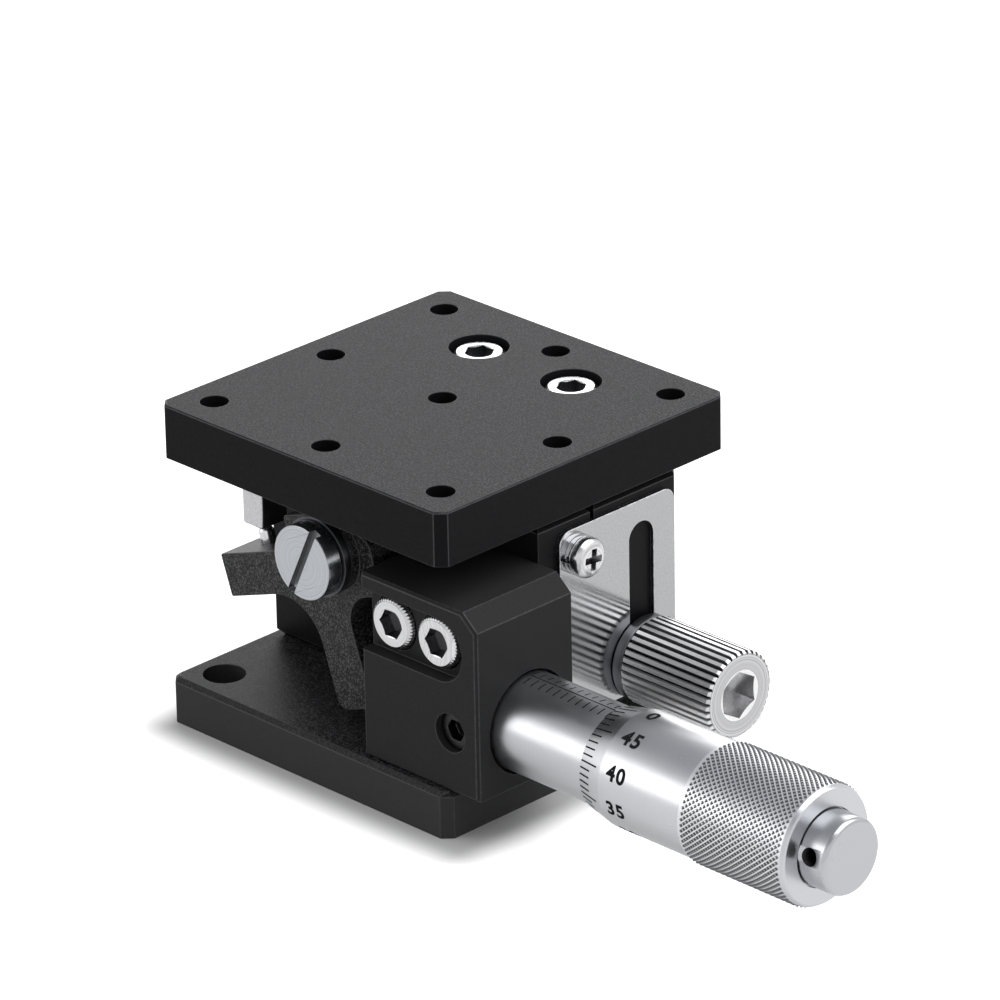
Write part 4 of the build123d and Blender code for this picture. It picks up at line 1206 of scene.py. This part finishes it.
def slotted_screw():
    centre, finishes = middle("pivot_screw"), [pivot_face, slot_painted_shade]
    top, radius, edge = PIVOT_HEAD_HEIGHT, PIVOT_HEAD_RADIUS, 0.16 * MM
    place = tipped((centre.x, pivot_low.y + top, centre.z), 90)
    shank = pivot_high.y - pivot_low.y - top
    levels = [(-shank, SHANK_RADIUS), (PIVOT_THREAD - shank, SHANK_RADIUS),
              (PIVOT_THREAD - shank + 0.01 * MM, SHOULDER_RADIUS), (-0.01 * MM, SHOULDER_RADIUS),
              (0, radius - edge), (edge, radius), (top - edge, radius),
              (top - 0.3 * edge, radius - 0.3 * edge), (top, radius - edge)]
    points, faces = ring_stack(levels, 120)
    screw = make_piece("slotted_screw", points, faces, finishes, place)
    half, reach = PIVOT_SLOT_WIDTH / 2, radius + MM
    corners = ((-reach, -half), (reach, -half), (reach, half), (-reach, half))
    slot = turned_by(math.pi / 2 - PIVOT_SLOT_TURN, corners)
    punch(screw, prism("slot_saw", slot, top - PIVOT_SLOT_DEPTH, top + MM), place, finishes)
    return soften(screw, 0.04 * MM, math.radians(60))


pivot_face = turned_metal("pivot_face", (0.50, 0.52, 0.55), 0.26, 0.16 * MM, 0.004 * MM, 0.84)
# painted shade: the walls of the slot are painted darker than the face
slot_painted_shade = flat_metal("slot_painted_shade", (0.26, 0.27, 0.28), 0.35)
pivot = slotted_screw()
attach(pivot, "base")
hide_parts("pivot_screw")
print("pivot screw faces:", len(pivot.data.polygons))

# %% [markdown]
# ## The return spring
# A tension spring between two pins keeps the stage down on its lever. It is wound from hardened wire, with a
# loop at each end. Its lower loop stays with the base and its upper loop climbs with the stage. It is made
# here as one round wire along a path.
# %% Return spring
WIRE_RADIUS = 0.3 * MM
COIL_RADIUS = 1.4 * MM
LOOP_RADIUS = 1.13 * MM
LOOP_TO_COIL = 1.73 * MM
COIL_TURNS = 9
STEPS_PER_TURN = 24
LOOP_SWEEP = 335


def spring_path():
    """Middle of the wire: lower loop, coil, upper loop."""
    low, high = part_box("return_spring")
    x, y, _ = middle("return_spring")
    lower, upper = low.z + LOOP_RADIUS + WIRE_RADIUS, high.z - LOOP_RADIUS - WIRE_RADIUS
    start, end = lower + LOOP_TO_COIL, upper - LOOP_TO_COIL

    def loop(centre, first, last):
        turns = [math.radians(first + (last - first) * i / STEPS_PER_TURN) for i in range(STEPS_PER_TURN + 1)]
        return [Vector((x + LOOP_RADIUS * math.cos(a), y, centre + LOOP_RADIUS * math.sin(a))) for a in turns]

    coil = []
    for i in range(COIL_TURNS * STEPS_PER_TURN + 1):
        turn = math.pi + 2 * math.pi * i / STEPS_PER_TURN
        rise = i / (COIL_TURNS * STEPS_PER_TURN)
        coil.append(Vector((x + COIL_RADIUS * math.cos(turn), y + COIL_RADIUS * math.sin(turn),
                            start + (end - start) * rise)))
    bend, side = 0.9 * MM, 0.2 * MM
    into = Vector((x - bend, y + side, start - side))
    out = Vector((x - bend, y - side, end + side))
    path = loop(lower, 90 - LOOP_SWEEP, 90) + [into] + coil + [out] + loop(upper, -90, LOOP_SWEEP - 90)
    return path, Vector((x, y, start)), Vector((x, y, end))


def round_wire(path, radius, sides=10):
    """Points and faces of a round wire along the path, closed at both ends."""
    points = []
    side = Vector((0, 1, 0))
    for i, centre in enumerate(path):
        along = (path[min(i + 1, len(path) - 1)] - path[max(i - 1, 0)]).normalized()
        side = (side - along * side.dot(along)).normalized()
        other = along.cross(side)
        for k in range(sides):
            turn = 2 * math.pi * k / sides
            points.append(centre + (side * math.cos(turn) + other * math.sin(turn)) * radius)
    return points, ring_faces(len(path), sides)


wire_path, coil_start, coil_end = spring_path()
wire_points, wire_faces = round_wire(wire_path, WIRE_RADIUS)
spring = make_piece("wound_spring", wire_points, wire_faces, [spring_steel], smooth_angle=60)
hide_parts("return_spring")
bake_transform(spring)
print("spring coil from", round(coil_start.z / MM, 2), "to", round(coil_end.z / MM, 2), "mm")

# %% [markdown]
# ## The size of the CAD model
# The dressed model must stay inside the box of the CAD model. The CAD box is printed.
# %% Print the size
print("CAD box:", [[round(v / MM, 2) for v in corner] for corner in cad_box])
